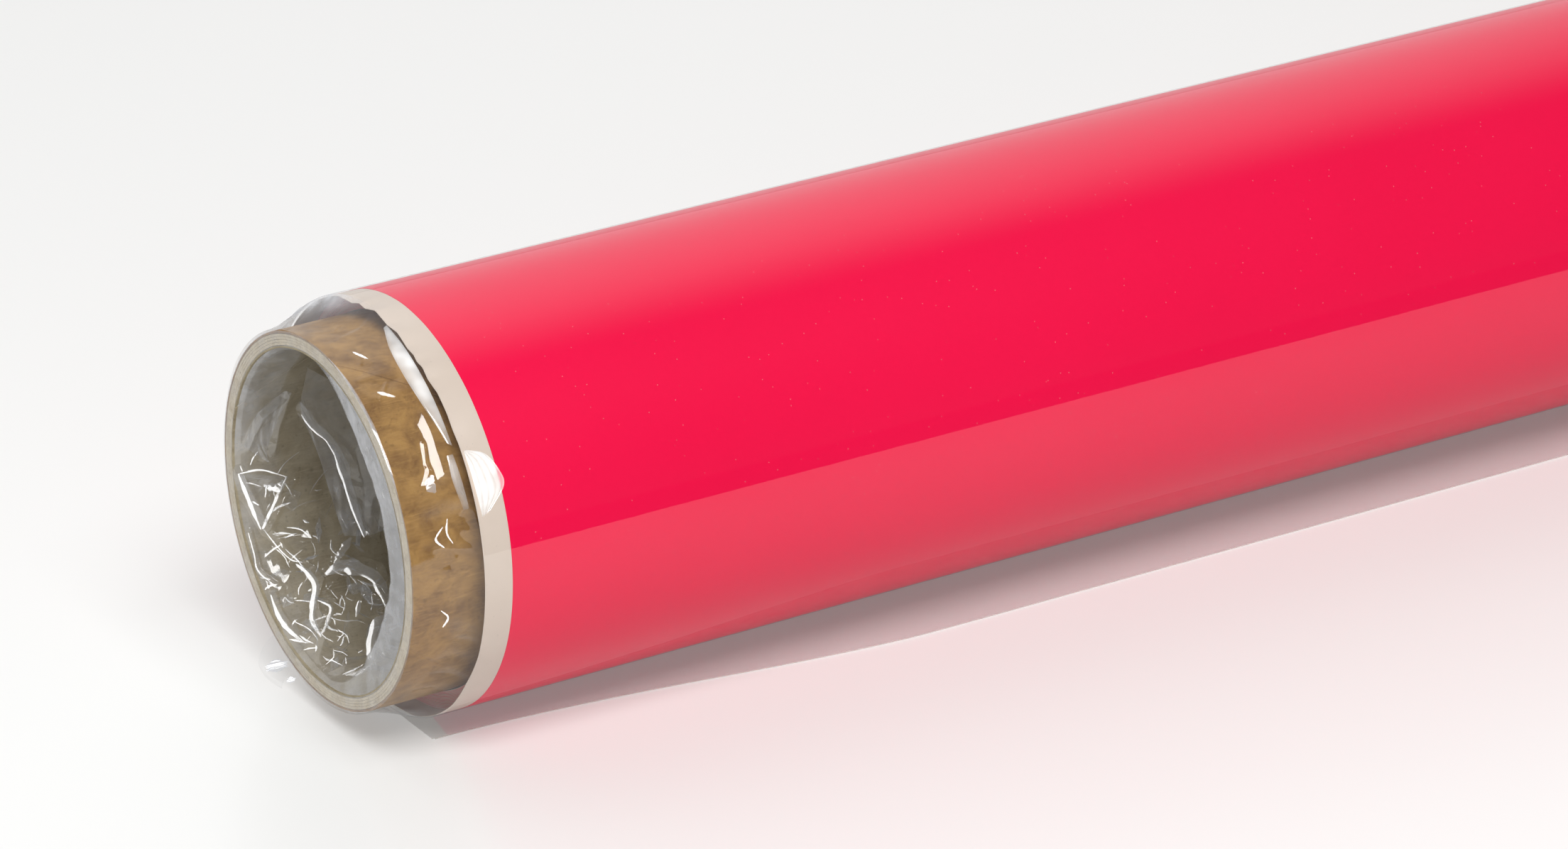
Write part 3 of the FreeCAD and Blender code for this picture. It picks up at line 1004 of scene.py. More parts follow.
@dataclass
class FilmShoulder:
    """Film drawn in from the sleeve's end, over the sheet's edge, to the core's rim."""

    side: Side
    columns: int = 720
    rows: int = 56
    pleats: int = 46
    pleat_milk: float = 0.15
    stand: float = 0.06
    # How far along the core the film takes to come down, and what adds to that.
    descent: float = 2.6
    descent_change: float = 0.7
    descent_bridged: float = 5.0
    crumple: float = 0.16
    facet_size: float = 3.4
    seed: int = 60
    # Where the film spans straight from the sheet's edge to the rim: angle, half width, milk.
    bridges: tuple[tuple[float, float, float], ...] = ((48.0, 44.0, 0.7), (264.0, 40.0, 0.3))
    folds: tuple[Fold, ...] = ()

    def build(self) -> None:
        """Make the shoulder."""
        angle = np.linspace(0, FULL_TURN, self.columns, endpoint=False)
        reach = ROLL.half_core - ROLL.half_sheet
        past = np.linspace(0, reach + 0.06, self.rows)
        gap, turn = np.meshgrid(past, angle, indexing="ij")
        pleats = self.pleating(gap, turn)
        radius = np.clip(self.profile(gap, turn) + pleats, ROLL.core + 0.05, ROLL.film)
        lifted = smooth(radius - ROLL.core, 0.4, 4.5)
        milk = self.pleat_milk * pleats
        for bridge in self.bridges:
            milk = milk + bridge[2] * self.bridging(turn, bridge) * lifted
        points = around(self.side.value * (ROLL.half_sheet + gap), radius, turn)
        piece = grid_piece(f"drawn_shoulder_{self.side.word}", points, LOOSE_FILM,
                           ring_columns=True, sharp=60.0, milk=milk)
        settle(piece, "film", [f"film_shoulder_{self.side.word}"])

    @staticmethod
    def bridging(turn: Field, bridge: tuple[float, float, float]) -> Field:
        """How far a bridge holds the film off the core at an angle, from 0 to 1."""
        middle, half, _ = bridge
        return 1 - smooth(np.abs(turned(turn, middle)), half * 0.27, half)

    def profile(self, gap: Field, turn: Field) -> Field:
        """The film's radius, at a distance past the sheet's edge and an angle."""
        drop = ROLL.film - 0.02 - ROLL.core - self.stand
        held = sum(self.bridging(turn, bridge) for bridge in self.bridges)
        descent = (self.descent + self.descent_change * wobble(turn, self.seed, 9)
                   + self.descent_bridged * held)
        radius = ROLL.core + self.stand + drop * np.exp(-(gap / descent) ** 1.3)
        random_part = facets(gap[:, 0], turn[0], ROLL.core, self.facet_size, self.seed + 1)
        middle = smooth(gap, 0.0, 2.5) * (1 - smooth(gap, 12.0, 14.8))
        radius = radius + self.crumple * middle * random_part
        return radius + fold_height(self.folds, gap, turn, ROLL.core + 1)

    def pleating(self, gap: Field, turn: Field) -> Field:
        """Pleats where the shrinking film has too much girth for the core."""
        random = np.random.default_rng(self.seed + 2)
        total = np.zeros(gap.shape)
        for _ in range(self.pleats):
            middle = random.uniform(0, FULL_TURN)
            half = random.uniform(1.2, 3.4)
            height = random.uniform(0.08, 0.42)
            skew = random.uniform(-0.5, 0.5)
            finish = random.uniform(5.0, 14.0)
            away = np.abs(turned(turn + skew * gap, middle)) / half
            fade = smooth(gap, 0.0, 2.2) * (1 - smooth(gap, finish * 0.5, finish))
            total = np.maximum(total, height * np.clip(1 - away, 0, 1) * fade)
        return total


@dataclass
class FilmTuck:
    """Film folded over the rim and stuffed into the bore, where it stays crumpled."""

    side: Side
    columns: int = 900
    rows: int = 150
    rim_rows: int = 10
    depth: float = 34.0
    lip: float = 0.45
    rim_crown: float = 0.22
    rim_milk: float = 0.2
    # The bead just inside the rim: how far it stands off the wall, at the rear and in front.
    bead: float = 0.7
    bead_front: float = 9.0
    bead_change: float = 0.13
    slack: float = 0.5
    sag: float = 0.02
    crumple: float = 1.0
    facet_size: float = 5.2
    fine_facet_size: float = 2.6
    fine_share: float = 0.28
    # Painted light: how deep and how milky the band is that makes the top of the bore look lit.
    painted_light_depth: float = 11.0
    painted_light_milk: float = 0.14
    bridge_angle: float = 175.0
    seed: int = 80
    folds: tuple[Fold, ...] = ()

    def build(self) -> None:
        """Make the lining, from the rim's outer edge to the film's end inside the bore."""
        angle = np.linspace(0, FULL_TURN, self.columns, endpoint=False)
        over_rim = np.linspace(0, 1, self.rim_rows)
        down = np.linspace(0, 1, self.rows) ** 1.1 * self.depth
        rim_radius = ROLL.core + 0.03 + (ROLL.bore + self.lip - ROLL.core) * over_rim
        crown = self.rim_crown * np.sin(math.pi * over_rim) ** 0.5
        rim_along = ROLL.half_core + 0.05 + crown
        turn_rim, radius_rim = np.meshgrid(angle, rim_radius)
        along_rim = np.repeat(rim_along[:, None], self.columns, axis=1)
        wall_depth, turn_wall = np.meshgrid(down[1:], angle, indexing="ij")
        radius_wall = ROLL.bore - self.inward(wall_depth, turn_wall)
        radius_wall = radius_wall + self.lip * np.exp(-wall_depth / 0.5)
        radius = np.concatenate([radius_rim, radius_wall])
        turn = np.concatenate([turn_rim, turn_wall])
        along = np.concatenate([along_rim, ROLL.half_core - wall_depth])
        points = around(self.side.value * along, radius, turn)
        milk = np.concatenate([np.full(turn_rim.shape, self.rim_milk),
                               self.milkiness(wall_depth, turn_wall)])
        piece = grid_piece(f"stuffed_tuck_{self.side.word}", points, LOOSE_FILM,
                           ring_columns=True, sharp=70.0, milk=milk)
        settle(piece, "film", [f"film_tuck_{self.side.word}"])

    def front(self, turn: Field) -> Field:
        """How near an angle is to the front side, where the film bridges the mouth's edge."""
        return smooth(np.cos(np.radians(turned(turn, self.bridge_angle))), -0.1, 0.8)

    def milkiness(self, depth: Field, turn: Field) -> Field:
        """The film is gathered, and so milkier, in the bead just inside the rim; near the mouth
        on the top side it is made milkier as painted light.
        """
        bead = np.exp(-((depth - 1.6) / 2.2) ** 2)
        bead = bead * (1 + 0.55 * wobble(turn, self.seed + 8, 110))
        # Painted light: a milky band near the mouth on the top side, so the top of the bore looks
        # lit.
        top = smooth(np.cos(np.radians(turned(turn, 75.0))), 0.0, 0.7)
        edge = self.painted_light_depth + 2.0 * wobble(turn, self.seed + 7, 9)
        painted_top_light = self.painted_light_milk * top * (1 - smooth(depth, edge - 0.5, edge + 0.5))
        gathered = (0.04 + 0.15 * self.front(turn)) * bead
        return 0.02 + 0.17 * np.exp(-depth / 8.0) + gathered + painted_top_light

    def inward(self, depth: Field, turn: Field) -> Field:
        """How far the film stands off the bore's wall, at a depth and an angle."""
        bead = (self.bead + self.bead_front * self.front(turn)) * smooth(depth, 0.0, 1.7)
        bead = bead * (1 - 0.8 * smooth(depth, 2.6, 10.0))
        bead = bead * (1 + self.bead_change * wobble(turn, self.seed + 5, 40))
        slack = self.slack * smooth(depth, 3.0, 14.0) + self.sag * depth
        low = smooth(np.cos(np.radians(turned(turn, -75.0))), -0.1, 0.9)
        rough = self.crumple * (0.45 + 1.1 * low) * smooth(depth, 1.0, 7.0)
        coarse = facets(depth[:, 0], turn[0], ROLL.bore, self.facet_size, self.seed)
        fine = facets(depth[:, 0], turn[0], ROLL.bore, self.fine_facet_size, self.seed + 1)
        standing = bead + slack + rough * (1.0 + coarse + self.fine_share * fine)
        standing = standing + fold_height(self.folds, depth, turn, ROLL.bore - 2)
        return np.maximum(standing, 0.06)


@dataclass(frozen=True)
class Glint:
    """A fold pressed to a narrow ribbon that faces the main light.

    Its points are (inside the rim, angle), on a tube of the given radius. The ribbon then
    stands off that tube, towards the mouth and the front, by at least the given distance.
    With flat at 1 it lies in one plane, and with 0 it follows the tube.
    """

    points: Line
    half_width: float
    stand: float = 1.5
    radius: float = 38.0
    milk: float = 0.2
    flat: float = 1.0


@dataclass(frozen=True)
class Veil:
    """A stretch of film that hangs between two lines of (inside the rim, angle) points."""

    first: Line
    second: Line
    first_stand: float
    second_stand: float
    milk: float = 0.16


@dataclass(frozen=True)
class Frost:
    """A stretch of painted highlight, drawn as white film between two lines of (inside the rim,
    angle) points.
    """

    first: Line
    second: Line
    radius: float
    flutes: float
    # How white the painted highlight is.
    milk: float = 0.95


def along_line(points: Sequence[Sequence[float]], count: int) -> Field:
    """Evenly spaced points on a smooth curve through the given ones.

    Args:
        points: The points to pass through, each with the same number of values.
        count: How many to return.

    Returns:
        A row for each point, on a Catmull-Rom curve.
    """
    known = np.array(points, float)
    padded = np.vstack([2 * known[0] - known[1], known, 2 * known[-1] - known[-2]])
    at = np.linspace(0, len(known) - 1 - 1e-6, count)
    piece, t = at.astype(int), (at % 1)[:, None]
    before, start, end, after = (padded[piece + step] for step in range(4))
    return 0.5 * (2 * start + (end - before) * t
                  + (2 * before - 5 * start + 4 * end - after) * t ** 2
                  + (3 * start - before - 3 * end + after) * t ** 3)


@dataclass
class FilmFolds:
    """The film's brightest folds, its painted highlights and hanging stretches at one end."""

    side: Side
    glints: Sequence[Glint]
    veils: Sequence[Veil]
    painted_glares: Sequence[Frost]
    crinkles: int = 90
    scraps: int = 46
    ribbon_rows: int = 40
    ribbon_columns: int = 7
    # The way a fold stands off the wall, and the way its flat faces.
    towards_mouth: tuple[float, float, float] = (0.48, 0.771, -0.419)
    facing: tuple[float, float, float] = (0.31, 0.69, -0.65)

    def build(self) -> None:
        """Make a piece of the pressed folds, one of the painted highlights and one that hangs."""
        glints = [*self.glints, *self.scattered()]
        self.joined("pressed_folds", [(self.ribbon(glint), glint.milk) for glint in glints],
                    LOOSE_FILM, 80.0)
        self.joined("painted_glare_film", [self.frost(frost) for frost in self.painted_glares],
                    PAINTED_GLARE_FILM, 80.0)
        veils = [*self.veils, *self.tilted()]
        self.joined("hanging_film", [(self.sheet(veil, number), veil.milk)
                                     for number, veil in enumerate(veils)], LOOSE_FILM, 50.0)

    def joined(self, kind: str, stretches: Sequence[tuple[Field, Field | float]],
               finish: Finish, sharp: float) -> None:
        """Make one piece from several stretches of film, and fix it to the roll.

        Args:
            kind: What the piece is called, without its side.
            stretches: For each stretch, its grid of points and how milky it is.
            finish: The finish that they wear.
            sharp: Edges that turn by more than this many degrees stay sharp.
        """
        grids = [grid for grid, _ in stretches]
        milk = [np.broadcast_to(part, grid.shape[:2]) for grid, part in stretches]
        piece = grid_piece(f"{kind}_{self.side.word}", grids, finish, milk=milk, sharp=sharp)
        settle(piece, "film", [])

    def scattered(self) -> list[Glint]:
        """Short fine creases at random places, most of them low in the bore."""
        random = np.random.default_rng(400 + self.side.value)
        made = []
        for _ in range(self.crinkles):
            middle = np.array([random.uniform(2.0, 29.0), random.triangular(-96.0, -58.0, 4.0)])
            way = random.uniform(0, math.pi)
            run = np.array([math.cos(way), math.sin(way) * 1.5]) * random.uniform(0.8, 3.6)
            bend = np.array([-run[1], run[0]]) * random.uniform(-0.3, 0.3)
            line = (middle - run, middle + bend, middle + run)
            made.append(Glint(tuple((max(d, 1.0), a) for d, a in line),
                              random.uniform(0.06, 0.26), random.uniform(1.0, 4.0),
                              milk=random.uniform(0.1, 0.4)))
        return made

    def tilted(self) -> list[Veil]:
        """Small facets of film at random places and tilts, low in the bore."""
        random = np.random.default_rng(500 + self.side.value)
        made = []
        for _ in range(self.scraps):
            corner = np.array([random.uniform(4.0, 26.0), random.triangular(-94.0, -62.0, -8.0)])
            run, over = (random.uniform(-1, 1, 2) * (3.4, 5.5) for _ in range(2))
            lines = [[corner + start + run * part for part in (0.0, 0.5, 1.0)]
                     for start in (np.zeros(2), over)]
            first, second = (tuple((max(d, 1.2), a) for d, a in line) for line in lines)
            made.append(Veil(first, second, random.uniform(0.8, 4.5), random.uniform(0.8, 4.5),
                             random.uniform(0.04, 0.42)))
        return made

    def placed(self, line: Field, radius: float, stand: Field | float) -> Field:
        """Points at the left end, in millimetres, from (inside the rim, angle) ones."""
        places = around(-ROLL.half_core + line[..., 0], radius, line[..., 1]) / MM
        return places - np.array(self.towards_mouth) * np.asarray(stand)[..., None]

    def to_end(self, points: Field) -> Field:
        """Points drawn for the left end, in metres, at this piece's own end."""
        return points * np.array([-self.side.value, 1.0, 1.0]) * MM

    def ribbon(self, glint: Glint) -> Field:
        """One fold as a slightly rounded ribbon, narrow at its ends."""
        line = self.placed(along_line(glint.points, self.ribbon_rows), glint.radius, glint.stand)
        rise = line @ np.array(self.facing)
        rise = (rise - rise.min()) * glint.flat
        line = line - np.array(self.towards_mouth) * (rise / 0.955)[:, None]
        run = np.gradient(line, axis=0)
        run /= np.linalg.norm(run, axis=1, keepdims=True)
        facing = -np.array(self.facing)
        across = np.cross(run, facing)
        across /= np.linalg.norm(across, axis=1, keepdims=True)
        square = np.cross(across, run)
        share = np.linspace(0, 1, self.ribbon_rows)
        width = glint.half_width * np.sin(np.pi * (0.04 + 0.92 * share)) ** 0.6
        width = width * (1 + 0.3 * wobble(share * 40, int(glint.points[0][1] * 7) % 97, 6, 40))
        part = np.linspace(-1, 1, self.ribbon_columns)
        offset = across[:, None] * (part[None, :, None] * width[:, None, None])
        crown = square[:, None] * ((1 - part ** 2)[None, :, None] * width[:, None, None] * 0.07)
        return self.to_end(line[:, None] + offset + crown)

    def frost(self, frost: Frost) -> tuple[Field, Field]:
        """One stretch of painted highlight, white film with flutes along it, and how white each
        point is.
        """
        count, across = 60, 33
        first, second = (along_line(line, count) for line in (frost.first, frost.second))
        plain = between(first, second, across)
        share = np.linspace(0, 1, across)[None, :] + 0.002 * np.arange(count)[:, None]
        flute = np.abs(np.sin(math.pi * frost.flutes * share)) ** 0.5
        radius = frost.radius + 0.12 * flute
        at_ends = np.sin(math.pi * np.linspace(0.03, 0.97, count))[:, None] ** 0.5
        milk = frost.milk * (0.45 + 0.55 * flute) * at_ends
        points = around(-ROLL.half_core + plain[..., 0], radius, plain[..., 1]) / MM
        return self.to_end(points), milk

    def sheet(self, veil: Veil, number: int) -> Field:
        """One hanging stretch, with shallow flutes and a slightly wavy free edge."""
        count, across = 44, 26
        first = self.placed(along_line(veil.first, count), ROLL.bore, veil.first_stand)
        second = self.placed(along_line(veil.second, count), ROLL.bore, veil.second_stand)
        plain = between(first, second, across)
        steps, shares = np.meshgrid(np.arange(float(count)), np.linspace(0, 1, across),
                                    indexing="ij")
        flutes = (wobble(steps + 9 * shares, 200 + number, 7, count)
                  * wobble(shares * 30 + 0.3 * steps, 220 + number, 5, 60))
        return self.to_end(plain - np.array(self.facing) * 0.9 * flutes[..., None])


@dataclass
class FilmEar:
    """A loose tag of film that stands out from the rim and curls outwards, low at the rear."""

    side: Side
    rows: int = 36
    columns: int = 16
    bulge: float = 0.7

    def build(self) -> None:
        """Make the ear as a ribbon through a few cross lines."""
        # Each cross line: past the rim, and the two edges' places (rearwards, above the axis).
        lines = np.array([
            [(-3.0, 11.0, -34.5), (-3.0, 17.0, -31.5)],
            [(-0.4, 11.2, -36.6), (-0.6, 18.4, -33.4)],
            [(0.9, 11.0, -38.0), (0.9, 19.6, -34.6)],
            [(2.3, 10.6, -39.6), (2.6, 20.4, -36.8)],
            [(3.4, 10.4, -41.0), (4.2, 20.4, -39.2)],
            [(4.0, 10.6, -42.6), (4.9, 19.4, -41.4)],
            [(3.4, 11.6, -43.9), (4.4, 17.8, -43.2)]])
        fine = self.curved(lines, self.rows)
        ribbon = between(fine[:, 0], fine[:, 1], self.columns)
        bulge = np.sin(np.pi * np.linspace(0, 1, self.columns))[None, :] * self.bulge
        uneven = wobble(np.arange(float(self.rows)), 91, 4, self.rows)[:, None]
        ribbon[..., 0] += bulge * (0.4 + 0.6 * uneven)
        points = np.stack([
            self.side.value * (ROLL.half_core + ribbon[..., 0]),
            ribbon[..., 1],
            ROLL.axis_height + ribbon[..., 2]], -1) * MM
        piece = grid_piece(f"loose_ear_{self.side.word}", points, LOOSE_FILM, sharp=70.0)
        settle(piece, "film", [f"film_ear_{self.side.word}"])

    @staticmethod
    def curved(lines: Field, count: int) -> Field:
        """More cross lines on a smooth curve through the given ones."""
        known = np.linspace(0, 1, len(lines))
        wanted = np.linspace(0, 1, count)
        made = np.zeros((count, 2, 3))
        for edge in range(2):
            for axis in range(3):
                bent = np.polyfit(known, lines[:, edge, axis], 5)
                made[:, edge, axis] = np.polyval(bent, wanted)
        return made


# Creases that more than one list uses: (inside the rim, angle) points of the left end.
LONG_FOLD = ((17.0, 15.0), (20.0, 6.0), (25.0, -2.0), (28.0, -11.0), (29.0, -22.0),
             (30.0, -37.0))
HOOKED_FOLD = ((10.6, -40.0), (12.5, -44.0), (13.0, -49.0), (10.0, -56.0), (8.4, -61.0),
               (8.0, -68.0))
STAR_REAR = ((1.3, -6.0), (3.4, -16.0), (5.0, -26.0))
STAR_FOOT = ((5.0, -26.0), (9.0, -37.0), (12.0, -40.0))
SHORT_STRUT = ((19.0, -43.0), (25.0, -36.0))
REAR_CREASE = ((2.0, -48.0), (1.5, -56.0), (2.0, -62.0), (3.5, -68.0))
FRONT_SWEEP = ((26.0, -66.0), (22.0, -69.0), (16.0, -81.0), (16.0, -87.0))
BOTTOM_CREASE = ((14.0, -88.0), (9.0, -91.0), (6.0, -90.0))
ZIGZAG = ((12.0, -54.0), (14.0, -58.0), (10.0, -65.0), (8.0, -67.0))
RIM_CREASE = ((1.3, -26.0), (1.4, -33.0), (1.1, -39.0), (3.6, -45.0))
CURTAIN_TOP = ((17.0, 15.0), (24.0, -1.0), (28.5, -16.0), (30.0, -37.0))
PATCH_REAR = ((3.0, 3.0), (6.0, 15.0), (12.0, 22.0))

# Creases of the left end's shoulder: (past the sheet's edge, angle) points.
SHOULDER_FOLDS = (
    Fold(((8.0, 101.0), (9.6, 106.5)), 0.22, 0.5),
    Fold(((7.2, 116.0), (10.6, 121.0)), 0.22, 0.45),
    Fold(((5.6, 137.5), (6.6, 143.5), (6.2, 147.0)), 0.3, 0.6),
    Fold(((6.6, 146.0), (8.4, 149.5)), 0.35, 0.8),
    Fold(((7.0, 162.5), (7.8, 164.5), (7.2, 167.5)), 0.22, 0.4),
    Fold(((9.0, 163.0), (7.8, 165.8)), 0.2, 0.4),
    Fold(((6.0, 84.0), (8.2, 87.0)), 0.16, 0.4),
    Fold(((10.0, 188.0), (8.0, 192.0), (8.6, 195.0)), 0.2, 0.4),
)

# Folds of the left end's stuffed film: (depth, angle) points.
TUCK_FOLDS = (
    Fold(LONG_FOLD, 2.6, 1.9, 0.35),
    Fold(((1.3, -6.0), (8.0, -9.0), (13.0, -11.0)), 1.8, 2.2),
    Fold(((1.3, -6.0), (5.0, -26.0)), 2.2, 1.8),
    Fold(((13.0, -11.0), (5.0, -26.0)), 2.2, 1.8),
    Fold(STAR_FOOT, 1.4, 1.5),
    Fold(((9.0, 1.0), (12.0, 22.0)), 1.2, 1.6),
    Fold(PATCH_REAR, 1.0, 1.5),
    Fold(HOOKED_FOLD, 2.4, 1.3, 0.2),
    Fold(((16.5, -46.0), (23.0, -46.0), (27.0, -51.0), (27.0, -58.0), (26.0, -66.0)),
         2.6, 1.5, -0.2),
    Fold(SHORT_STRUT, 1.8, 1.6),
    Fold(REAR_CREASE, 1.4, 1.1),
    Fold(FRONT_SWEEP, 2.2, 1.6),
    Fold(BOTTOM_CREASE, 1.4, 1.2),
    Fold(ZIGZAG, 1.5, 1.1),
    Fold(RIM_CREASE, 0.9, 0.9),
)


# Bright folds of the left end, in the bore and on the core's outside.
GLINTS = (
    Glint(LONG_FOLD, 1.15, 10.0),
    Glint(STAR_REAR, 0.5, 2.0),
    Glint(((13.0, -11.0), (9.0, -19.0), (5.0, -26.0)), 0.5, 2.0),
    Glint(((1.3, -6.0), (7.0, -6.6), (13.0, -11.0)), 0.25, 2.0),
    Glint(((7.0, -12.0), (10.5, -14.0), (12.0, -12.0)), 0.9, 2.2),
    Glint(STAR_FOOT, 0.22, 2.0),
    Glint(HOOKED_FOLD, 0.8, 2.4),
    Glint(((16.0, -46.0), (20.0, -44.6), (23.0, -46.0), (27.0, -51.0), (27.0, -58.0),
           (26.0, -66.0)), 1.5, 3.4),
    Glint(SHORT_STRUT, 0.8, 3.0),
    Glint(REAR_CREASE, 0.55, 1.6),
    Glint(FRONT_SWEEP, 1.2, 3.0),
    Glint(BOTTOM_CREASE, 0.5, 2.0),
    Glint(ZIGZAG, 0.45, 2.2),
    Glint(RIM_CREASE, 0.2, 1.4),
    Glint(((12.0, 62.0), (14.0, 48.0), (18.0, 36.0)), 0.3, 8.0),
    Glint(((21.0, -58.0), (18.0, -64.0)), 0.5, 2.4),
    # Across the core's outside: creases that face the light and mirror it, with milk that adds a
    # painted highlight.
    Glint(((8.6, 147.0), (7.4, 149.5), (8.2, 152.0)), 1.0, 0.0, 42.6, 0.3, 0.45),
    Glint(((5.4, 101.0), (7.2, 105.5)), 0.24, 0.0, 42.4, 0.3),
    Glint(((4.4, 118.5), (7.6, 121.5)), 0.36, 0.0, 42.4, 0.3),
    Glint(((8.2, 162.0), (6.2, 165.0), (8.0, 168.0)), 0.24, 0.0, 42.4, 0.3),
    Glint(((9.6, 160.0), (9.0, 164.0), (10.2, 167.5)), 0.2, 0.0, 42.4, 0.3),
    Glint(((6.4, 187.0), (8.4, 190.0), (7.4, 193.0)), 0.22, 0.0, 42.4, 0.3),
    # The ear's curled tip, square to the light; besides its reflection, its strong milk paints a
    # highlight.
    Glint(((-1.6, -66.0), (-2.8, -70.5)), 2.2, 0.0, 43.6, 0.8),
    Glint(((-1.7, -75.0), (-2.3, -77.5)), 0.9, 0.0, 42.6, 0.8),
    # Along the rim's outer edge.
    Glint(((-0.05, 100.0), (-0.05, 118.0), (-0.05, 136.0), (-0.05, 150.0)), 0.3, 0.0, 41.8,
          0.35, 0.0),
)

# Painted highlights, drawn as white film: over the sheet's pressed edge, and wrinkled flat on the
# bare margin.
PAINTED_GLARES = (
    Frost(((14.6, 98.0), (14.3, 108.0), (14.0, 118.0), (13.8, 128.0), (13.6, 141.0)),
          ((13.4, 99.0), (11.0, 108.0), (10.2, 118.0), (10.8, 128.0), (12.6, 140.0)),
          45.4, 1.0, 0.7),
    Frost(((15.1, 143.5), (15.2, 147.0), (15.3, 152.0), (15.4, 157.0), (15.6, 161.0)),
          ((15.6, 143.2), (19.6, 145.4), (21.7, 150.0), (22.0, 154.5), (17.6, 160.0)),
          46.73, 4.0),
    Frost(((13.9, 143.0), (14.1, 150.0), (14.3, 158.5)),
          ((12.4, 143.0), (12.0, 150.0), (12.9, 158.5)), 44.0, 1.0, 0.5),
)

# Hanging stretches: the curtain on the front side of the bore, and two patches at the rear.
VEILS = (
    Veil(((18.0, 8.0), (21.5, -6.0), (23.0, -19.0), (24.0, -35.0)),
         CURTAIN_TOP, 10.0, 10.0, 0.28),
    Veil(CURTAIN_TOP,
         ((18.0, 30.0), (33.0, 8.0), (40.0, -14.0), (42.0, -36.0)), 10.0, 24.0, 0.1),
    Veil(PATCH_REAR,
         ((9.0, -5.0), (9.0, 1.0), (14.0, 20.0)), 2.0, 3.0, 0.16),
    Veil(STAR_REAR,
         ((13.0, -11.0), (9.0, -19.0), (5.2, -26.2)), 2.0, 2.0, 0.14),
)


def mirrored(folds: Sequence[Fold], turn: float) -> tuple[Fold, ...]:
    """The same folds turned about the axis, for the end that is crumpled differently."""
    return tuple(Fold(tuple((d, turn - a) for d, a in fold.points), fold.height, fold.width,
                      -fold.lean) for fold in folds)


# --------------------------------------------------------------------------- studio


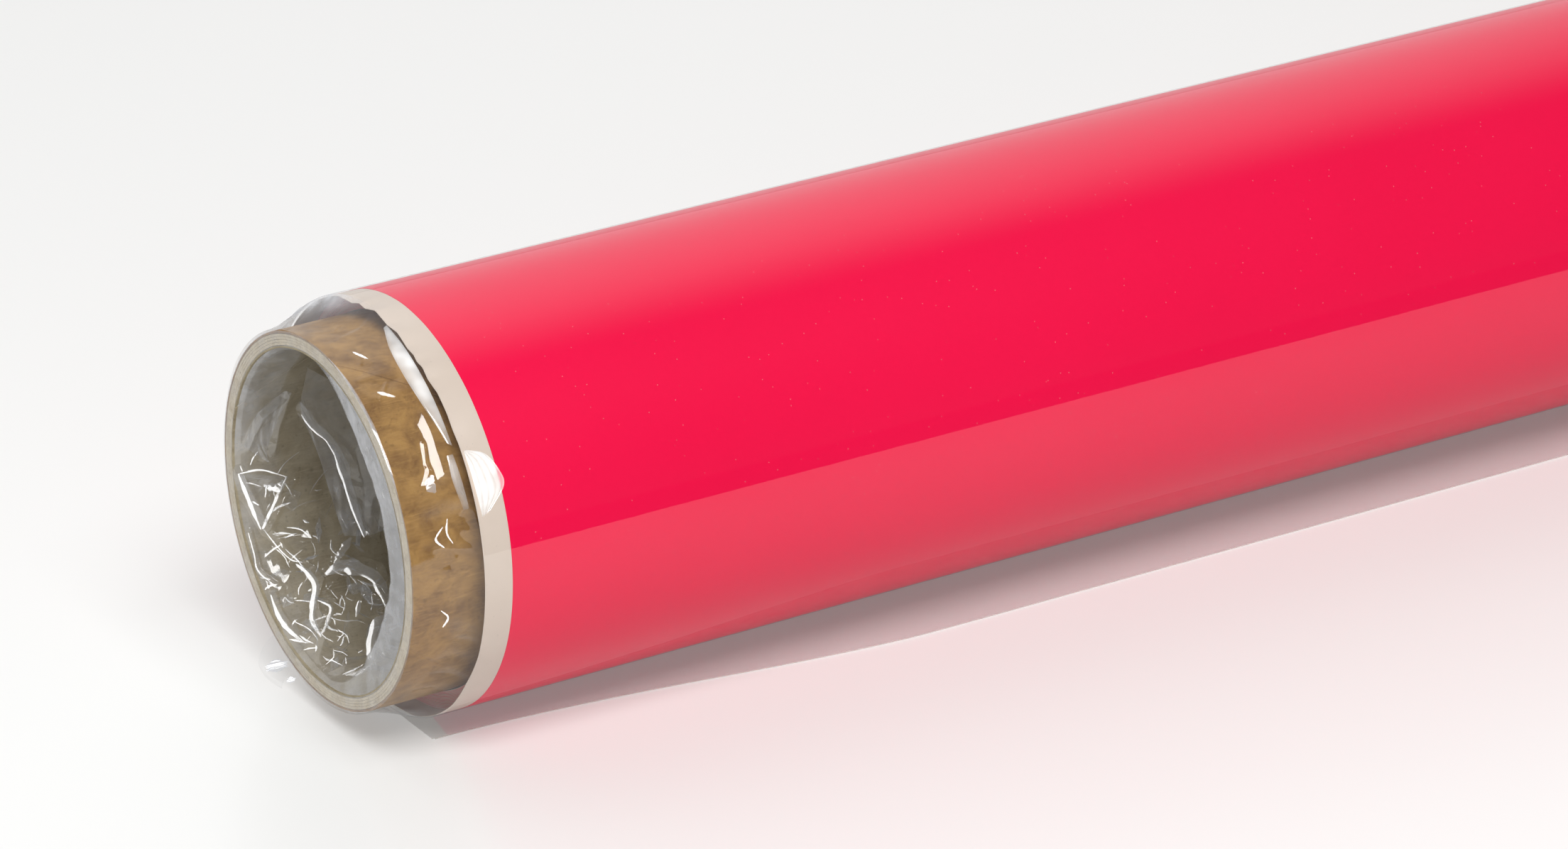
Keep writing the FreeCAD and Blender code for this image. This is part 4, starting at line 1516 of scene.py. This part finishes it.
@dataclass
class Studio:
    """Pale table, soft light and the camera."""

    near_front: float = -0.31
    reach: float = 6.0
    sky: float = 1.15
    dark: float = 0.05
    key_power: float = 10.6
    key_from: tuple[float, float, float] = (-0.12, -0.55, 0.83)
    key_distance: float = 1.8
    key_size: tuple[float, float] = (1.2, 0.8)
    fill_power: float = 2.1
    fill_from: tuple[float, float, float] = (-0.5, -0.95, 0.2)
    fill_distance: float = 5.0
    fill_size: tuple[float, float] = (8.4, 2.3)
    lit_end: tuple[float, float, float] = (-0.69, 0.0, 0.05)
    camera_place: tuple[float, float, float] = (-1.3746, -1.2886, 0.7407)
    focal_length: float = 173.5
    sensor_width: float = 36.0

    def build(self) -> None:
        """Make the table, the lights and the camera."""
        bpy.context.scene.view_settings.view_transform = "Standard"
        self.table()
        self.surroundings()
        self.softbox("key_softbox", Vector(self.key_from), self.key_distance, self.key_size,
                     self.key_power)
        # Pale walls in front light the roll's low side, but are too dull to mirror in it.
        fill = self.softbox("front_wall", Vector(self.fill_from), self.fill_distance,
                            self.fill_size, self.fill_power)
        fill.visible_glossy = False
        self.camera()

    def table(self) -> None:
        """A table top in two parts: the front one is kept out of mirror reflections."""
        near = self.slab("table_top", self.near_front, self.reach)
        front = self.slab("table_front", -self.reach, self.near_front)
        front.visible_glossy = False

    def slab(self, name: str, low: float, high: float) -> bpy.types.Object:
        """A flat rectangle of table between two places along Y, in metres."""
        rows = np.linspace(low, high, 5)
        columns = np.linspace(-self.reach, self.reach, 5)
        y, x = np.meshgrid(rows, columns, indexing="ij")
        points = np.stack([x, y, np.full(x.shape, -0.00002)], -1)
        return grid_piece(name, points, TABLE_TOP)

    def surroundings(self) -> None:
        """A bright room above and behind, and a dark one in front and below."""
        world = bpy.data.worlds.new("studio")
        bpy.context.scene.world = world
        world.use_nodes = True
        tree = world.node_tree
        tree.nodes.clear()
        ray = add_node(tree, "ShaderNodeTexCoord").outputs["Generated"]
        behind = math.radians(160.0)
        towards = add_node(tree, "ShaderNodeVectorMath", {
            0: ray, 1: (0.0, -math.cos(behind), math.sin(behind))}, operation="DOT_PRODUCT")
        level = add_node(tree, "ShaderNodeMapRange", {
            "Value": towards.outputs["Value"], "From Min": 0.2, "From Max": 0.85,
            "To Min": self.dark, "To Max": self.sky}, interpolation_type="SMOOTHSTEP")
        upward = add_node(tree, "ShaderNodeSeparateXYZ", {0: ray})
        above = add_node(tree, "ShaderNodeMapRange", {
            "Value": upward.outputs["Z"], "From Min": -0.02, "From Max": 0.01})
        strength = add_node(tree, "ShaderNodeMath", {
            0: level.outputs["Result"], 1: above.outputs["Result"]}, operation="MULTIPLY")
        glow = add_node(tree, "ShaderNodeBackground", {
            "Color": (1.0, 1.0, 1.0, 1.0), "Strength": strength.outputs[0]})
        add_node(tree, "ShaderNodeOutputWorld", {"Surface": glow.outputs[0]})

    def softbox(self, name: str, direction: Vector, distance: float,
                size: tuple[float, float], radiance: float) -> bpy.types.Object:
        """Add an evenly lit rectangle that faces the roll's near end.

        Args:
            name: The light's name.
            direction: The way from that end to the light.
            distance: How far away it is, in metres.
            size: Its width and height, in metres.
            radiance: How bright it looks, where 1 is a white paper in full light.

        Returns:
            The light.
        """
        data = bpy.data.lights.new(name, "AREA")
        data.shape = "RECTANGLE"
        data.size, data.size_y = size
        data.energy = radiance * math.pi * size[0] * size[1]
        lamp = linked(name, data)
        lamp.location = Vector(self.lit_end) + direction.normalized() * distance
        lamp.rotation_euler = direction.to_track_quat("Z", "Y").to_euler()
        return lamp

    def camera(self) -> None:
        """A long lens, a little above the table, looking along the roll from one end."""
        data = bpy.data.cameras.new("camera")
        data.lens, data.sensor_width = self.focal_length, self.sensor_width
        data.clip_start, data.clip_end = 0.05, 50.0
        camera = linked("camera", data)
        forward = Vector((0.480, 0.771, -0.4186)).normalized()
        right = Vector((0.849, -0.5285, 0.0)).normalized()
        up = right.cross(forward)
        turn = Matrix((right, up, -forward)).transposed()
        camera.matrix_world = Matrix.Translation(self.camera_place) @ turn.to_4x4()
        bpy.context.scene.camera = camera


# --------------------------------------------------------------------------- all of it


def main() -> None:
    """Build the roll and the studio, in order."""
    logging.basicConfig(level=logging.INFO, format="%(name)s %(message)s")
    Studio().build()
    Core().build()
    WoundSheet().build()
    Tapes().build()
    FilmSleeve().build()
    FilmShoulder(Side.LEFT, folds=SHOULDER_FOLDS).build()
    FilmShoulder(Side.RIGHT, seed=160, folds=mirrored(SHOULDER_FOLDS, 140.0)).build()
    FilmTuck(Side.LEFT, folds=TUCK_FOLDS).build()
    FilmTuck(Side.RIGHT, seed=180, folds=mirrored(TUCK_FOLDS, -60.0)).build()
    for side in Side:
        FilmFolds(side, GLINTS, VEILS, PAINTED_GLARES).build()
        FilmEar(side).build()


if __name__ == "__main__":
    main()
